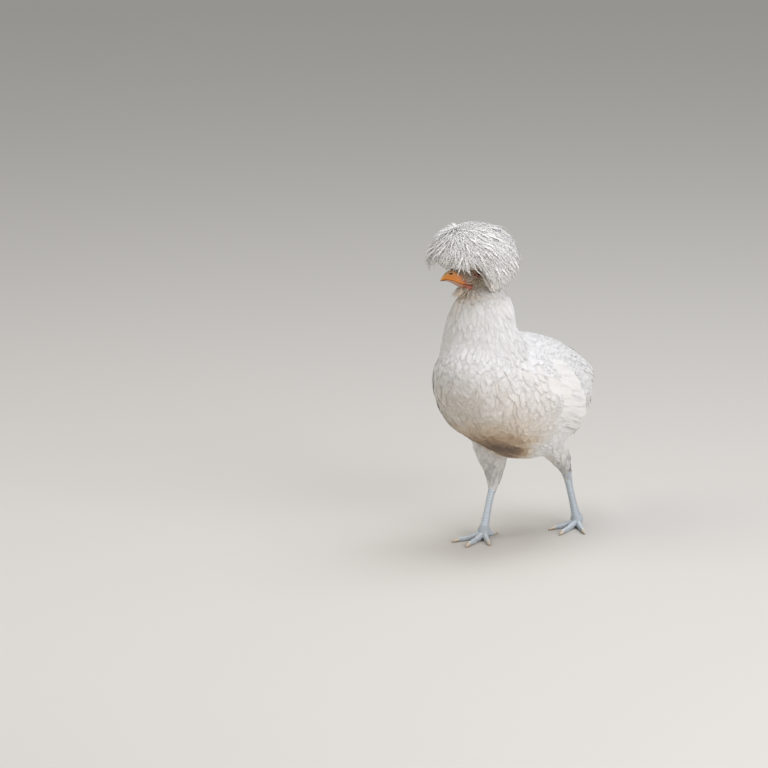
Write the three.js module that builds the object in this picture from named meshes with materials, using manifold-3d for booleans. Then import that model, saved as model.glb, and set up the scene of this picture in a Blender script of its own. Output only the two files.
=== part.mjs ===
// A life-size model of a white crested hen of the Polish breed, walking, with its head turned to its right.
// Millimetres, +Z up. The hen walks towards -Y, its left side is +X, and the floor is z = 0.
// In the code "ahead" is a distance towards the hen's front, which is -Y.

import * as THREE from 'three';
import { mergeVertices } from 'three/addons/utils/BufferGeometryUtils.js';
import Module from 'manifold-3d';

const wasm = await Module();
wasm.setup();

// Driving dimensions of the whole bird

const JOIN_GAP = 0.3; // left between two parts that meet
const VANE_THICKNESS = 0.8; // of a feather at its root
const TIP_THICKNESS = 0.55; // of a feather at its tip

const BREAST_AHEAD = 192; // foremost point of the breast
const RUMP_AHEAD = -138; // hindmost point of the trunk
const HEAD_CENTRE = at(-4, 110, 361);
const HEAD_YAW = -42; // degrees, the bill turned to the hen's right
const BILL_TIP = 60; // ahead of the middle of the skull
const EYE_RADIUS = 5.2;
const CREST_RADIUS = 58; // to the feather tips, level with the crest's middle
const CREST_HEIGHT = 50; // from the crest's middle to its top
const TAIL_LENGTH = 88; // from inside the rump to the tip
const TOE_JOINT_HEIGHT = 11; // middle of the joint between shank and toes
const FLOOR = 0;
const TIP_CELLS = 1.35; // above 1, a feather's cells are shorter towards its tip
const SLIVER = 0.08; // no face that a union leaves is thinner than this

const WHITE_PLUMAGE = new THREE.MeshStandardMaterial({ color: 0xe9e6e0, roughness: 0.85, metalness: 0 });
const SLATE_SKIN = new THREE.MeshStandardMaterial({ color: 0x9fb4bd, roughness: 0.6, metalness: 0 });
const HORN_CLAW = new THREE.MeshStandardMaterial({ color: 0xcfc4b4, roughness: 0.45, metalness: 0 });
const ORANGE_BILL = new THREE.MeshStandardMaterial({ color: 0xe0a048, roughness: 0.4, metalness: 0 });
const RED_SKIN = new THREE.MeshStandardMaterial({ color: 0xb84a3c, roughness: 0.6, metalness: 0 });
const WHITE_SKIN = new THREE.MeshStandardMaterial({ color: 0xdcd8cf, roughness: 0.6, metalness: 0 });
const DARK_EYE = new THREE.MeshStandardMaterial({ color: 0x2a1a12, roughness: 0.1, metalness: 0 });

// Points, curves and chance

function at(left, ahead, up) {
  return new THREE.Vector3(left, -ahead, up);
}

function mix(a, b, share) {
  return THREE.MathUtils.lerp(a, b, share);
}

function radians(degrees) {
  return THREE.MathUtils.degToRad(degrees);
}

// A smooth curve through a few [station, value] pairs, given from the lowest station to the highest.
function profile(pairs) {
  const last = pairs.length - 1;
  const slope = (i) => {
    const before = pairs[Math.max(0, i - 1)];
    const after = pairs[Math.min(last, i + 1)];
    return (after[1] - before[1]) / (after[0] - before[0]);
  };
  return (station) => {
    const s = THREE.MathUtils.clamp(station, pairs[0][0], pairs[last][0]);
    let i = 0;
    while (i < last - 1 && pairs[i + 1][0] < s) i += 1;
    const span = pairs[i + 1][0] - pairs[i][0];
    const u = (s - pairs[i][0]) / span;
    const start = pairs[i][1] * (2 * u ** 3 - 3 * u ** 2 + 1) + slope(i) * span * (u ** 3 - 2 * u ** 2 + u);
    const end = pairs[i + 1][1] * (3 * u ** 2 - 2 * u ** 3) + slope(i + 1) * span * (u ** 3 - u ** 2);
    return start + end;
  };
}

// Repeatable chance: each call gives the next number from 0 to 1 of one seeded row.
function chanceFrom(seed) {
  let state = seed;
  return () => {
    state = (state * 1664525 + 1013904223) % 4294967296;
    return state / 4294967296;
  };
}

// Making and joining solids

function signedVolume(position, index) {
  const [a, b, c] = [new THREE.Vector3(), new THREE.Vector3(), new THREE.Vector3()];
  let sum = 0;
  for (let i = 0; i < index.length; i += 3) {
    a.fromBufferAttribute(position, index[i]);
    b.fromBufferAttribute(position, index[i + 1]);
    c.fromBufferAttribute(position, index[i + 2]);
    sum += a.dot(b.cross(c));
  }
  return sum;
}

// A closed solid from a closed geometry, with its faces turned outwards.
function solidFrom(geometry) {
  const index = new Uint32Array(geometry.index.array);
  const position = geometry.getAttribute('position');
  if (signedVolume(position, index) < 0) {
    for (let i = 0; i < index.length; i += 3) {
      [index[i + 1], index[i + 2]] = [index[i + 2], index[i + 1]];
    }
  }
  const vertProperties = new Float32Array(position.array);
  return new wasm.Manifold(new wasm.Mesh({ numProp: 3, vertProperties, triVerts: index }));
}

// A three.js shape whose every point is moved by a rule.
function shaped(geometry, move) {
  const bare = geometry.clone();
  bare.deleteAttribute('normal');
  bare.deleteAttribute('uv');
  const merged = mergeVertices(bare, 1e-4);
  const position = merged.getAttribute('position');
  const point = new THREE.Vector3();
  for (let i = 0; i < position.count; i += 1) {
    point.fromBufferAttribute(position, i);
    const moved = move(point.clone());
    position.setXYZ(i, moved.x, moved.y, moved.z);
  }
  return solidFrom(merged);
}

// A thin closed plate on a curved sheet. place(across, along) gives a point of the sheet and the
// direction it faces, for across from -1 to 1 and along from 0 at the root to 1 at the tip.
function plate(cellsAcross, cellsAlong, place) {
  const sheet = new THREE.PlaneGeometry(1, 1, cellsAcross, cellsAlong);
  const flat = sheet.getAttribute('position');
  const under = flat.count;
  const points = new Float32Array(under * 6);
  for (let i = 0; i < under; i += 1) {
    const along = 1 - (0.5 + flat.getY(i)) ** TIP_CELLS;
    const { point, normal } = place(flat.getX(i) * 2, along);
    const half = mix(VANE_THICKNESS, TIP_THICKNESS, along) / 2;
    point.clone().addScaledVector(normal, half).toArray(points, i * 3);
    point.clone().addScaledVector(normal, -half).toArray(points, (under + i) * 3);
  }
  const faces = [];
  const top = sheet.index.array;
  for (let i = 0; i < top.length; i += 3) {
    faces.push(top[i], top[i + 1], top[i + 2]);
    faces.push(under + top[i], under + top[i + 2], under + top[i + 1]);
  }
  const row = cellsAcross + 1;
  const rim = [];
  for (let j = 0; j < cellsAlong; j += 1) rim.push(j * row);
  for (let i = 0; i < cellsAcross; i += 1) rim.push(cellsAlong * row + i);
  for (let j = cellsAlong; j > 0; j -= 1) rim.push(j * row + cellsAcross);
  for (let i = cellsAcross; i > 0; i -= 1) rim.push(i);
  rim.forEach((from, i) => {
    const to = rim[(i + 1) % rim.length];
    faces.push(to, from, under + from, to, under + from, under + to);
  });
  const closed = new THREE.BufferGeometry();
  closed.setAttribute('position', new THREE.BufferAttribute(points, 3));
  closed.setIndex(faces);
  return solidFrom(closed);
}

// A round limb along part of a curve. section(t, angle) is its radius, with angle 0 at the limb's left
// side and 90 degrees at its front.
function limb(curve, from, to, sides, steps, section) {
  const rod = new THREE.CylinderGeometry(1, 1, 1, sides, steps);
  return shaped(rod, (p) => {
    const t = from + (0.5 - p.y) * (to - from);
    const rim = Math.hypot(p.x, p.z);
    const angle = Math.atan2(p.z, p.x);
    const { side, front } = limbFrame(curve, t);
    const radius = rim * section(t, angle);
    return curve.getPoint(t)
      .addScaledVector(side, radius * Math.cos(angle))
      .addScaledVector(front, radius * Math.sin(angle));
  });
}

function limbFrame(curve, t) {
  const tangent = curve.getTangent(t);
  const front = at(0, 1, 0).addScaledVector(tangent, -at(0, 1, 0).dot(tangent)).normalize();
  const side = new THREE.Vector3().crossVectors(front, tangent).normalize();
  return { side, front };
}

function joined(solids) {
  return wasm.Manifold.union(solids);
}

function largest(solid) {
  if (solid.isEmpty()) throw new Error('nothing is left of a part');
  return solid.decompose().reduce((a, b) => (b.volume() > a.volume() ? b : a));
}

const hen = new THREE.Group();

function addPart(name, solid, material) {
  const mesh = largest(solid).simplify(SLIVER).getMesh();
  const geometry = new THREE.BufferGeometry();
  geometry.setAttribute('position', new THREE.BufferAttribute(new Float32Array(mesh.vertProperties), 3));
  geometry.setIndex(new THREE.BufferAttribute(new Uint32Array(mesh.triVerts), 1));
  geometry.computeVertexNormals();
  const part = new THREE.Mesh(geometry, material);
  part.name = name;
  hen.add(part);
}

// Trunk: half widths, half heights and middle heights of the plumage, each over the distance ahead. The
// rounding of the two ends comes on top.

const trunkHalfWidth = profile([
  [-138, 70], [-110, 62], [-60, 66], [0, 70], [60, 71], [120, 79], [165, 92], [192, 98],
]);
const trunkHalfHeight = profile([
  [-138, 44], [-100, 62], [-50, 77], [0, 82.5], [50, 84], [110, 86], [165, 89], [192, 88],
]);
const trunkMiddle = profile([
  [-138, 196], [-100, 189], [-50, 183], [0, 185.5], [50, 194], [110, 213], [165, 233], [192, 240],
]);
const trunkEgg = profile([[-138, 0.1], [20, 0.08], [100, 0.12], [192, 0.12]]); // how much narrower the top

const TRUNK_MIDDLE = (BREAST_AHEAD + RUMP_AHEAD) / 2;
const TRUNK_HALF = (BREAST_AHEAD - RUMP_AHEAD) / 2;

// A point of the trunk's surface: ahead from the rump to the breast, angle 0 at the left side and 90
// degrees on top.
function trunkPoint(ahead, angle, grow) {
  const share = THREE.MathUtils.clamp((ahead - TRUNK_MIDDLE) / TRUNK_HALF, -1, 1);
  const round = Math.sqrt(1 - share * share);
  const egg = 1 - trunkEgg(ahead) * Math.sin(angle);
  const left = (trunkHalfWidth(ahead) * round * egg + grow * round) * Math.cos(angle);
  const up = trunkMiddle(ahead) + (trunkHalfHeight(ahead) + grow) * round * Math.sin(angle);
  return at(left, ahead + grow * share, up);
}

function trunkSolid(grow) {
  const ball = new THREE.SphereGeometry(1, 24, 16);
  return shaped(ball, (p) => {
    const ahead = TRUNK_MIDDLE + TRUNK_HALF * p.y;
    return trunkPoint(ahead, Math.atan2(p.z, p.x), grow);
  });
}

// What a neighbour is cut by is swollen by more than the gap, because both have flat faces.
const TRUNK_MARGIN = 1.6 * JOIN_GAP;
const HEAD_MARGIN = 1.7 * JOIN_GAP;
const EYE_MARGIN = 1.3 * JOIN_GAP;
const BILL_MARGIN = 2 * JOIN_GAP;
const WATTLE_MARGIN = 5 * JOIN_GAP;

const trunk = trunkSolid(0);
const trunkRoom = trunkSolid(TRUNK_MARGIN);

// A point over the trunk's flank and the direction it faces, on the side given by 1 for left and -1 for
// right.
function flank(side, ahead, up, lift) {
  const share = THREE.MathUtils.clamp((ahead - TRUNK_MIDDLE) / TRUNK_HALF, -0.98, 0.98);
  const reach = trunkHalfHeight(ahead) * Math.sqrt(1 - share * share);
  const sine = THREE.MathUtils.clamp((up - trunkMiddle(ahead)) / reach, -0.96, 0.96);
  const angle = Math.asin(sine);
  const here = trunkPoint(ahead, angle, 0);
  const further = trunkPoint(ahead + 1, angle, 0).sub(here);
  const higher = trunkPoint(ahead, angle + 0.01, 0).sub(here);
  const normal = new THREE.Vector3().crossVectors(higher, further).normalize();
  if (normal.x < 0) normal.negate();
  const point = here.addScaledVector(normal, lift);
  point.x *= side;
  normal.x *= side;
  return { point, normal };
}

// Neck, from inside the breast up under the crest

const neckPath = new THREE.CatmullRomCurve3([
  at(0, 113, 232), at(-2, 118, 262), at(-4, 119, 292), at(-4, 111, 322), at(-4, 107, 345),
]);
const neckRadius = profile([[0, 58], [0.27, 55], [0.53, 46], [0.8, 37], [0.92, 31], [1, 20]]);

// The neck with a margin all round, for cutting its neighbours.
function neckWith(margin) {
  const column = limb(neckPath, 0, 1, 18, 9, (t) => neckRadius(t) + margin);
  return joined([column, column.translate([0, 0, margin])]);
}

// Head: the feathered face, cheeks and throat, with sockets for the eyes and a raised lid round each

const headTurn = new THREE.Matrix4().makeRotationZ(radians(HEAD_YAW)).setPosition(HEAD_CENTRE);

function inHead(point) {
  return point.applyMatrix4(headTurn);
}

function headBall(left, ahead, up, halfWidth, halfLength, halfHeight, grow, cells = 18) {
  const ball = new THREE.SphereGeometry(1, cells, Math.round(cells * 0.7));
  return shaped(ball, (p) => inHead(at(
    left + p.x * (halfWidth + grow),
    ahead + p.z * (halfLength + grow),
    up + p.y * (halfHeight + grow),
  )));
}

const EYE_LEFT = 12;
const EYE_AHEAD = 14;
const EYE_UP = 3;

function headSolid(grow) {
  return joined([
    headBall(0, 2, 4, 17, 27, 20, grow, 14),
    headBall(0, 6, -11, 13, 20, 13, grow, 10),
    headBall(7, -4, -8, 13, 18, 18, grow, 10),
    headBall(-7, -4, -8, 13, 18, 18, grow, 10),
    headBall(0, 26, -22, 7.5, 14, 8, grow, 10),
  ]);
}

const EYE_FLATTENING = 0.4; // of the ball, along its axis
const LID_ROLL = 1.1;
const LID_LEFT = EYE_LEFT + 2.2;
const LID_HEIGHT = 0.82; // of the opening, as a share of its length

function eyeBall(side, grow) {
  const thick = EYE_RADIUS - EYE_FLATTENING;
  return headBall(side * EYE_LEFT, EYE_AHEAD, EYE_UP, thick, EYE_RADIUS, EYE_RADIUS, grow, 12);
}

function eyelid(side, grow) {
  const ring = new THREE.TorusGeometry(EYE_RADIUS, LID_ROLL + grow, 5, 10);
  return shaped(ring, (p) => inHead(at(
    side * (LID_LEFT + p.z),
    EYE_AHEAD + p.x,
    EYE_UP + p.y * LID_HEIGHT,
  )));
}

// Bill: an upper and a lower half along the mouth line, which falls towards the gape and hooks down at
// the tip

const GAPE_AHEAD = 24;
const LOWER_BILL_TIP = 57;
const mouthLine = profile([
  [GAPE_AHEAD, -13.4], [31, -11], [38, -8.2], [46, -4.9], [54, -4], [BILL_TIP, -6.6],
]);
const billHalfWidth = profile([[GAPE_AHEAD, 8.8], [40, 6.4], [52, 3.6], [BILL_TIP, 0.9]]);
const upperDepth = profile([
  [GAPE_AHEAD, 21], [34, 17.6], [42, 14.6], [48, 11], [54, 6.8], [BILL_TIP, 1.6],
]);
const lowerDepth = profile([[GAPE_AHEAD, 5.5], [42, 4.2], [LOWER_BILL_TIP, 1.4]]);

function billHalf(tip, depth, way, grow = 0) {
  const rod = new THREE.CylinderGeometry(1, 1, 1, 12, 7);
  return shaped(rod, (p) => {
    const ahead = mix(tip, GAPE_AHEAD - 6, p.y + 0.5);
    const full = p.z > 0 ? 0.3 + 0.7 * p.z : 0.3 + 0.3 * p.z;
    const up = mouthLine(ahead) + way * (JOIN_GAP + (depth(ahead) + grow) * full);
    return inHead(at(p.x * (billHalfWidth(ahead) + grow), ahead, up));
  });
}

function nostril(side) {
  return headBall(side * 5.4, 46.5, 1.4, 2.4, 2.4, 1, 0, 10);
}

// Wattles and earlobes: two small red lobes under the gape, and a flat pale one behind each cheek

function wattle(side) {
  return headBall(side * 10.2, 25.5, -17, 2.8, 4.6, 5.4, 0, 10);
}

function earlobe(side, grow) {
  return headBall(side * 20.5, 2, -6, 3, 5, 6, grow, 10);
}

// Comb: two small horns that stand in a V over the root of the bill, under the crest's front

function combHorn(side) {
  const cone = new THREE.ConeGeometry(1, 1, 8, 2);
  return shaped(cone, (p) => {
    const rise = p.y + 0.5;
    return inHead(at(
      side * (1.2 + 3.4 * rise) + p.x * 2,
      27.5 + 2.5 * rise + p.z * 2.4,
      6 + rise * 9,
    ));
  });
}

function combSolid() {
  return joined([combHorn(1), combHorn(-1), headBall(0, 27.5, 7, 3, 3, 1.8, 0, 8)]);
}

// Crest: feathers that rise from a knob on the skull and fall outwards over a globe, in tiers, with the
// crown combed back over them

const CREST_CENTRE = inHead(at(0, 12, 20));
const CREST_CORE = 22; // radius of the mass of down that the feathers rise from
const CREST_ROOT = 0.3; // where the feathers leave the knob, as a share of the crest's radius

// The lowest angle from straight up that the crest's feathers reach. The face stays open ahead of the eyes.
function crestHem(azimuth) {
  const back = THREE.MathUtils.smoothstep(Math.abs(azimuth), radians(62), radians(108));
  return radians(mix(92, 146, back));
}

// A point of the crest's globe. fall is the angle from the pole, in the half plane that faces azimuth.
// The pole itself leans towards the hen's sides by the angle lean.
function crestPoint(azimuth, fall, share, lean = 0) {
  return new THREE.Vector3(0, 0, CREST_RADIUS * share)
    .applyAxisAngle(new THREE.Vector3(1, 0, 0), fall)
    .applyAxisAngle(new THREE.Vector3(0, 0, 1), azimuth)
    .applyAxisAngle(new THREE.Vector3(0, 1, 0), lean)
    .multiply(new THREE.Vector3(1, 1, CREST_HEIGHT / CREST_RADIUS))
    .applyAxisAngle(new THREE.Vector3(0, 0, 1), radians(HEAD_YAW))
    .add(CREST_CENTRE);
}

// A feather's width along its length, as a share of its widest.
const featherWidth = profile([[0, 0.34], [0.3, 0.75], [0.62, 1], [0.86, 0.84], [1, 0.26]]);

function crestFeather({ azimuth, from, to, reach, width, lift = 0, lean = 0, rise = 0.95 }) {
  const spine = (t) => crestPoint(
    azimuth,
    mix(from, to, t),
    mix(CREST_ROOT, reach, Math.sin((Math.PI / 2) * THREE.MathUtils.clamp(t * rise, 0, 1))) + lift,
    lean,
  );
  return plate(1, 4, (across, along) => {
    const point = spine(along);
    const ahead = spine(along + 0.01).sub(spine(along - 0.01)).normalize();
    const outward = point.clone().sub(CREST_CENTRE).normalize();
    const side = new THREE.Vector3().crossVectors(outward, ahead).normalize();
    const normal = new THREE.Vector3().crossVectors(ahead, side).normalize();
    point.addScaledVector(side, across * (width / 2) * featherWidth(along));
    return { point, normal };
  });
}

const CREST_TIERS = [
  { count: 9, from: 22, to: 80, reach: 0.9, width: 30 },
  { count: 12, from: 44, to: 102, reach: 0.92, width: 31 },
  { count: 11, from: 74, to: 126, reach: 0.93, width: 28 },
  { count: 9, from: 100, to: 146, reach: 0.94, width: 27 },
];
const STAGGER = 0.042; // how much further out every other feather lies, as a share of the crest's radius

function crestSolid() {
  const chance = chanceFrom(11);
  const pieces = [headBall(0, 10, 21, CREST_CORE, CREST_CORE, 20, 0, 9)];
  CREST_TIERS.forEach((tier, level) => {
    for (let i = 0; i < tier.count; i += 1) {
      const azimuth = ((i + (level % 2) / 2) / tier.count) * 2 * Math.PI - Math.PI;
      const to = Math.min(radians(tier.to + 6 * (chance() - 0.5)), crestHem(azimuth));
      const from = radians(tier.from);
      if (to - from < radians(36)) continue;
      const width = tier.width * mix(0.92, 1.04, chance());
      pieces.push(crestFeather({ azimuth, from, to, reach: tier.reach, width, lift: (i % 2) * STAGGER }));
    }
  });
  return joined([...pieces, ...crownFeathers(), ...foreheadFeathers(chance)]);
}

// Broad feathers on the top, parted across the crown: some are combed back and some fall forward.
function crownFeathers() {
  const crown = { reach: 0.95, width: 31, rise: 2.8 };
  const back = [-1, 0, 1].map((i, n) => crestFeather({
    ...crown,
    azimuth: Math.PI,
    from: radians(-42),
    to: radians(54 - 5 * Math.abs(i)),
    lift: (n % 2) * STAGGER,
    lean: radians(27 * i),
  }));
  const front = [-1.5, -0.5, 0.5, 1.5].map((i, n) => crestFeather({
    ...crown,
    azimuth: radians(38 * i),
    from: radians(2),
    to: radians(64),
    lift: (n % 2) * STAGGER,
  }));
  return [...back, ...front];
}

// Loose narrow feathers that stand out over the bill.
function foreheadFeathers(chance) {
  return [-42, -21, 0, 21, 42].map((angle, i) => crestFeather({
    azimuth: radians(angle),
    from: radians(34),
    to: radians(mix(78, 94, chance())),
    reach: 1.03 + 0.03 * chance(),
    width: 14,
    lift: (i % 2) * STAGGER,
    rise: 1.1,
  }));
}

// Wings: folded on the flanks, each a shoulder pad with tiers of vanes that lie back over one another

function wingPad(side) {
  const ball = new THREE.SphereGeometry(1, 12, 8);
  return shaped(ball, (p) => {
    const ahead = 78 + 50 * p.x;
    const up = 218 + 50 * p.z - 0.15 * (78 - ahead);
    return flank(side, ahead, up, p.y * WING_PAD_RISE).point;
  });
}

const VANE_TILT = 0.09; // how steeply each vane's lower edge slides under its neighbour
const WING_PAD_RISE = 11.5; // of the arm's swelling, over the flank

function wingVane(side, { root, tip, lift, width }) {
  const spine = (t) => flank(side, mix(root[0], tip[0], t), mix(root[1], tip[1], t), lift);
  return plate(1, 4, (across, along) => {
    const { point, normal } = spine(along);
    const ahead = spine(along + 0.02).point.sub(spine(along - 0.02).point).normalize();
    const rib = new THREE.Vector3().crossVectors(ahead, normal).normalize().multiplyScalar(side);
    const half = (width / 2) * featherWidth(along);
    point.addScaledVector(rib, across * half).addScaledVector(normal, across * half * VANE_TILT);
    return { point, normal };
  });
}

// Each tier runs from its lowest vane to its highest. A root or a tip is [ahead, up].
const WING_TIERS = [
  { count: 4, roots: [[76, 178], [68, 196]], tips: [[-54, 139], [-32, 164]], lift: 2.2, width: 15 },
  { count: 7, roots: [[66, 184], [62, 258]], tips: [[-40, 156], [12, 244]], lift: 4.8, width: 23 },
  { count: 6, roots: [[86, 190], [76, 262]], tips: [[12, 165], [38, 252]], lift: 7.4, width: 23 },
  { count: 5, roots: [[98, 200], [92, 264]], tips: [[50, 180], [62, 257]], lift: 10, width: 24 },
];

function wingSolid(side) {
  const chance = chanceFrom(side > 0 ? 5 : 6);
  const pieces = [wingPad(side)];
  for (const tier of WING_TIERS) {
    for (let i = 0; i < tier.count; i += 1) {
      const share = i / (tier.count - 1);
      const between = ([low, high]) => [mix(low[0], high[0], share), mix(low[1], high[1], share)];
      const root = between(tier.roots);
      const tip = between(tier.tips);
      tip[0] += 3 * (chance() - 0.5);
      pieces.push(wingVane(side, { root, tip, lift: tier.lift, width: tier.width }));
    }
  }
  return joined(pieces).subtract(joined([trunkRoom, neckRoom]));
}

// Tail: two fans of vanes like a steep roof, carried low and turned to the hen's right, with coverts over
// their roots

const TAIL_ROOT = at(-3, -100, 204);
const TAIL_TURN = radians(17);
const TAIL_DROP = radians(15);
const ROOF_TILT = 0.13;
const roofHalfWidth = profile([[0, 12], [1, 15]]);
const roofHeight = profile([[0, 14], [1, 42]]);

function inTail(left, back, up) {
  return new THREE.Vector3(left, back, up)
    .applyAxisAngle(new THREE.Vector3(1, 0, 0), -TAIL_DROP)
    .applyAxisAngle(new THREE.Vector3(0, 0, 1), TAIL_TURN)
    .add(TAIL_ROOT);
}

// One vane of the roof. slope is its place on the roof's curve, from 0 at the ridge, and lift is how far
// out it lies.
function tailVane({ side, slope, tip, lift, width }) {
  const place = (across, along) => {
    const share = (along * tip) / TAIL_LENGTH;
    const [wide, high] = [roofHalfWidth(share) + lift, roofHeight(share) + lift];
    const round = new THREE.Vector2(wide * Math.cos(slope), -high * Math.sin(slope)).normalize();
    const half = (width / 2) * featherWidth(along) * across;
    const left = wide * Math.sin(slope) + round.x * half + round.y * half * ROOF_TILT;
    const up = high * Math.cos(slope) - roofHeight(share) + round.y * half - round.x * half * ROOF_TILT;
    return inTail(side * left, along * tip, up - 2.5 * along * along);
  };
  return plate(1, 4, (across, along) => {
    const point = place(across, along);
    const backwards = place(across, along + 0.01).sub(point);
    const downwards = place(across + 0.01, along).sub(point);
    const normal = new THREE.Vector3().crossVectors(backwards, downwards).normalize().multiplyScalar(-side);
    return { point, normal };
  });
}

// Each tier has one vane on the ridge and then the same slopes on both sides.
const TAIL_TIERS = [
  { slopes: [31, 52, 70, 87], length: TAIL_LENGTH, shorten: 2.5, lift: 0, width: 16 },
  { slopes: [43, 78], length: 60, shorten: 4, lift: 3.2, width: 21 },
];
const RIDGE_LIFT = 1.4;

function tailSolid() {
  const ball = new THREE.SphereGeometry(1, 12, 8);
  const pieces = [shaped(ball, (p) => inTail(p.x * 17, 18 + 30 * p.z, -11 + p.y * 15))];
  for (const { slopes, length, shorten, lift, width } of TAIL_TIERS) {
    pieces.push(tailVane({ side: 1, slope: 0, tip: length, lift: lift + RIDGE_LIFT, width }));
    slopes.forEach((slope, i) => {
      const vane = { slope: radians(slope), tip: length - shorten * (i + 1), lift, width };
      pieces.push(tailVane({ side: 1, ...vane }), tailVane({ side: -1, ...vane }));
    });
  }
  return joined(pieces).subtract(trunkRoom);
}

// Legs: thigh and shank share one line from the knee through the hock to the toes, so each cut is square
// to it

// toes is the turn of the middle toe in degrees, feathers is how far down the leg's line they go, as a
// share.
const LEGS = {
  right: {
    side: -1,
    knee: at(-34, 40, 148),
    hock: at(-37, 24, 75),
    joint: at(-37, 50, TOE_JOINT_HEIGHT),
    toes: 4,
    feathers: 0.58,
    girth: 1,
  },
  left: {
    side: 1,
    knee: at(34, 16, 148),
    hock: at(34, -40, 80),
    joint: at(35, -69, TOE_JOINT_HEIGHT),
    toes: 8,
    feathers: 0.54,
    girth: 0.85,
  },
};

function legPath({ knee, hock, joint }) {
  const thigh = new THREE.Vector3().lerpVectors(knee, hock, 0.5);
  const shank = new THREE.Vector3().lerpVectors(hock, joint, 0.5);
  return new THREE.CatmullRomCurve3([knee, thigh, hock, shank, joint], false, 'centripetal');
}

const ANKLE = 0.95; // where the shank meets the foot, as a share of the leg's line
const SPLIT = 0.0018; // half the gap at a cut across the leg, as a share of its line
const thighRadius = profile([
  [0, 20], [0.1, 27], [0.25, 25], [0.43, 20], [0.6, 16.5], [0.8, 11.5], [1, 6.8],
]);
const shankRadius = profile([[0.5, 6.6], [0.58, 5.4], [0.8, 4.6], [0.9, 5.2], [1, 6.6]]);
const SHANK_SCUTES = 12;
const SCUTE_RISE = 0.55;

function thighSolid(leg, path) {
  const end = leg.feathers - SPLIT;
  return limb(path, 0, end, 16, 10, (t) => leg.girth * thighRadius(t / end)).subtract(trunkRoom);
}

// The shank's front carries raised bands, each thickest at its lower edge.
function shankSolid(leg, path) {
  return limb(path, leg.feathers + SPLIT, ANKLE - SPLIT, 10, SHANK_SCUTES * 2, (t, angle) => {
    const share = ((t - leg.feathers) / (ANKLE - leg.feathers)) * SHANK_SCUTES;
    const band = share - Math.floor(share + 0.02);
    const front = Math.max(0, Math.sin(angle));
    return shankRadius(t) + SCUTE_RISE * (band > 0.3 ? 1 : 0) * Math.sqrt(front);
  });
}

const TOES = [
  { name: 'inner', fan: 34, length: 34, radius: 4.1 },
  { name: 'middle', fan: 2, length: 48, radius: 4.4 },
  { name: 'outer', fan: -32, length: 38, radius: 4.0 },
  { name: 'hind', fan: 168, length: 19, radius: 3.6 },
];
const CLAW_LENGTH = 12;
const TOE_ROOT_HEIGHT = 7.5;

// A toe's line on the floor, with its claw past the toe's end.
function toePath(leg, toe) {
  const turn = radians(toe.fan * -leg.side + leg.toes);
  const way = new THREE.Vector3(Math.sin(turn), -Math.cos(turn), 0);
  const start = leg.joint.clone().setZ(TOE_ROOT_HEIGHT);
  const whole = toe.length + CLAW_LENGTH;
  const spot = (distance, up) => start.clone().addScaledVector(way, distance).setZ(up);
  return new THREE.CatmullRomCurve3([
    start,
    spot(whole * 0.3, 4.1),
    spot(whole * 0.55, 2.7),
    spot(whole * 0.8, 3),
    spot(whole, 0.8),
  ]);
}

function toeFrame(curve, t) {
  const tangent = curve.getTangent(t);
  const up = new THREE.Vector3(0, 0, 1).addScaledVector(tangent, -tangent.z).normalize();
  const side = new THREE.Vector3().crossVectors(up, tangent).normalize();
  return { side, up };
}

function toeLimb(curve, from, to, sides, steps, section) {
  const rod = new THREE.CylinderGeometry(1, 1, 1, sides, steps);
  return shaped(rod, (p) => {
    const t = from + (0.5 - p.y) * (to - from);
    const { side, up } = toeFrame(curve, t);
    const radius = section(t, p.z);
    return curve.getPoint(t).addScaledVector(side, p.x * radius).addScaledVector(up, p.z * radius);
  });
}

// A toe has raised scutes on top and three pads underneath.
function toeSolid(curve, toe) {
  const end = toe.length / (toe.length + CLAW_LENGTH);
  return toeLimb(curve, 0, end - 0.005, 8, 8, (t, height) => {
    const taper = mix(toe.radius, toe.radius * 0.62, t / end);
    const knuckle = 1 + 0.08 * Math.cos((t / end) * 6 * Math.PI);
    const scute = height > 0.5 ? SCUTE_RISE * 0.7 * (Math.round((t / end) * 8) % 2) : 0;
    return taper * knuckle + scute;
  });
}

function clawSolid(curve, toe) {
  const end = toe.length / (toe.length + CLAW_LENGTH);
  return toeLimb(curve, end + 0.005, 1, 6, 4, (t) => mix(toe.radius * 0.56, 0.5, (t - end) / (1 - end)));
}

function footSolid(leg, path) {
  const ball = new THREE.SphereGeometry(1, 9, 6);
  const middle = leg.joint.clone().add(at(0, 0, -2));
  const bulb = shaped(ball, (p) => new THREE.Vector3(p.x * 8.6, p.z * 9, p.y * 10).add(middle));
  const ankle = limb(path, ANKLE - 0.03, 1, 10, 3, (t) => shankRadius(t));
  const down = path.getTangent(ANKLE);
  const root = joined([bulb, ankle]).trimByPlane(down.toArray(), down.dot(path.getPoint(ANKLE + SPLIT)));
  const toes = TOES.map((toe) => toeSolid(toePath(leg, toe), toe));
  return joined([root, ...toes]).trimByPlane([0, 0, 1], FLOOR);
}

// Putting the bird together

const head = headSolid(0);
const headRoom = headSolid(HEAD_MARGIN);
const neck = limb(neckPath, 0, 1, 18, 9, neckRadius);
const neckRoom = neckWith(HEAD_MARGIN);
const eyes = { left: eyeBall(1, 0), right: eyeBall(-1, 0) };
const upperBill = billHalf(BILL_TIP, upperDepth, 1);
const lowerBill = billHalf(LOWER_BILL_TIP, lowerDepth, -1);

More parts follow.
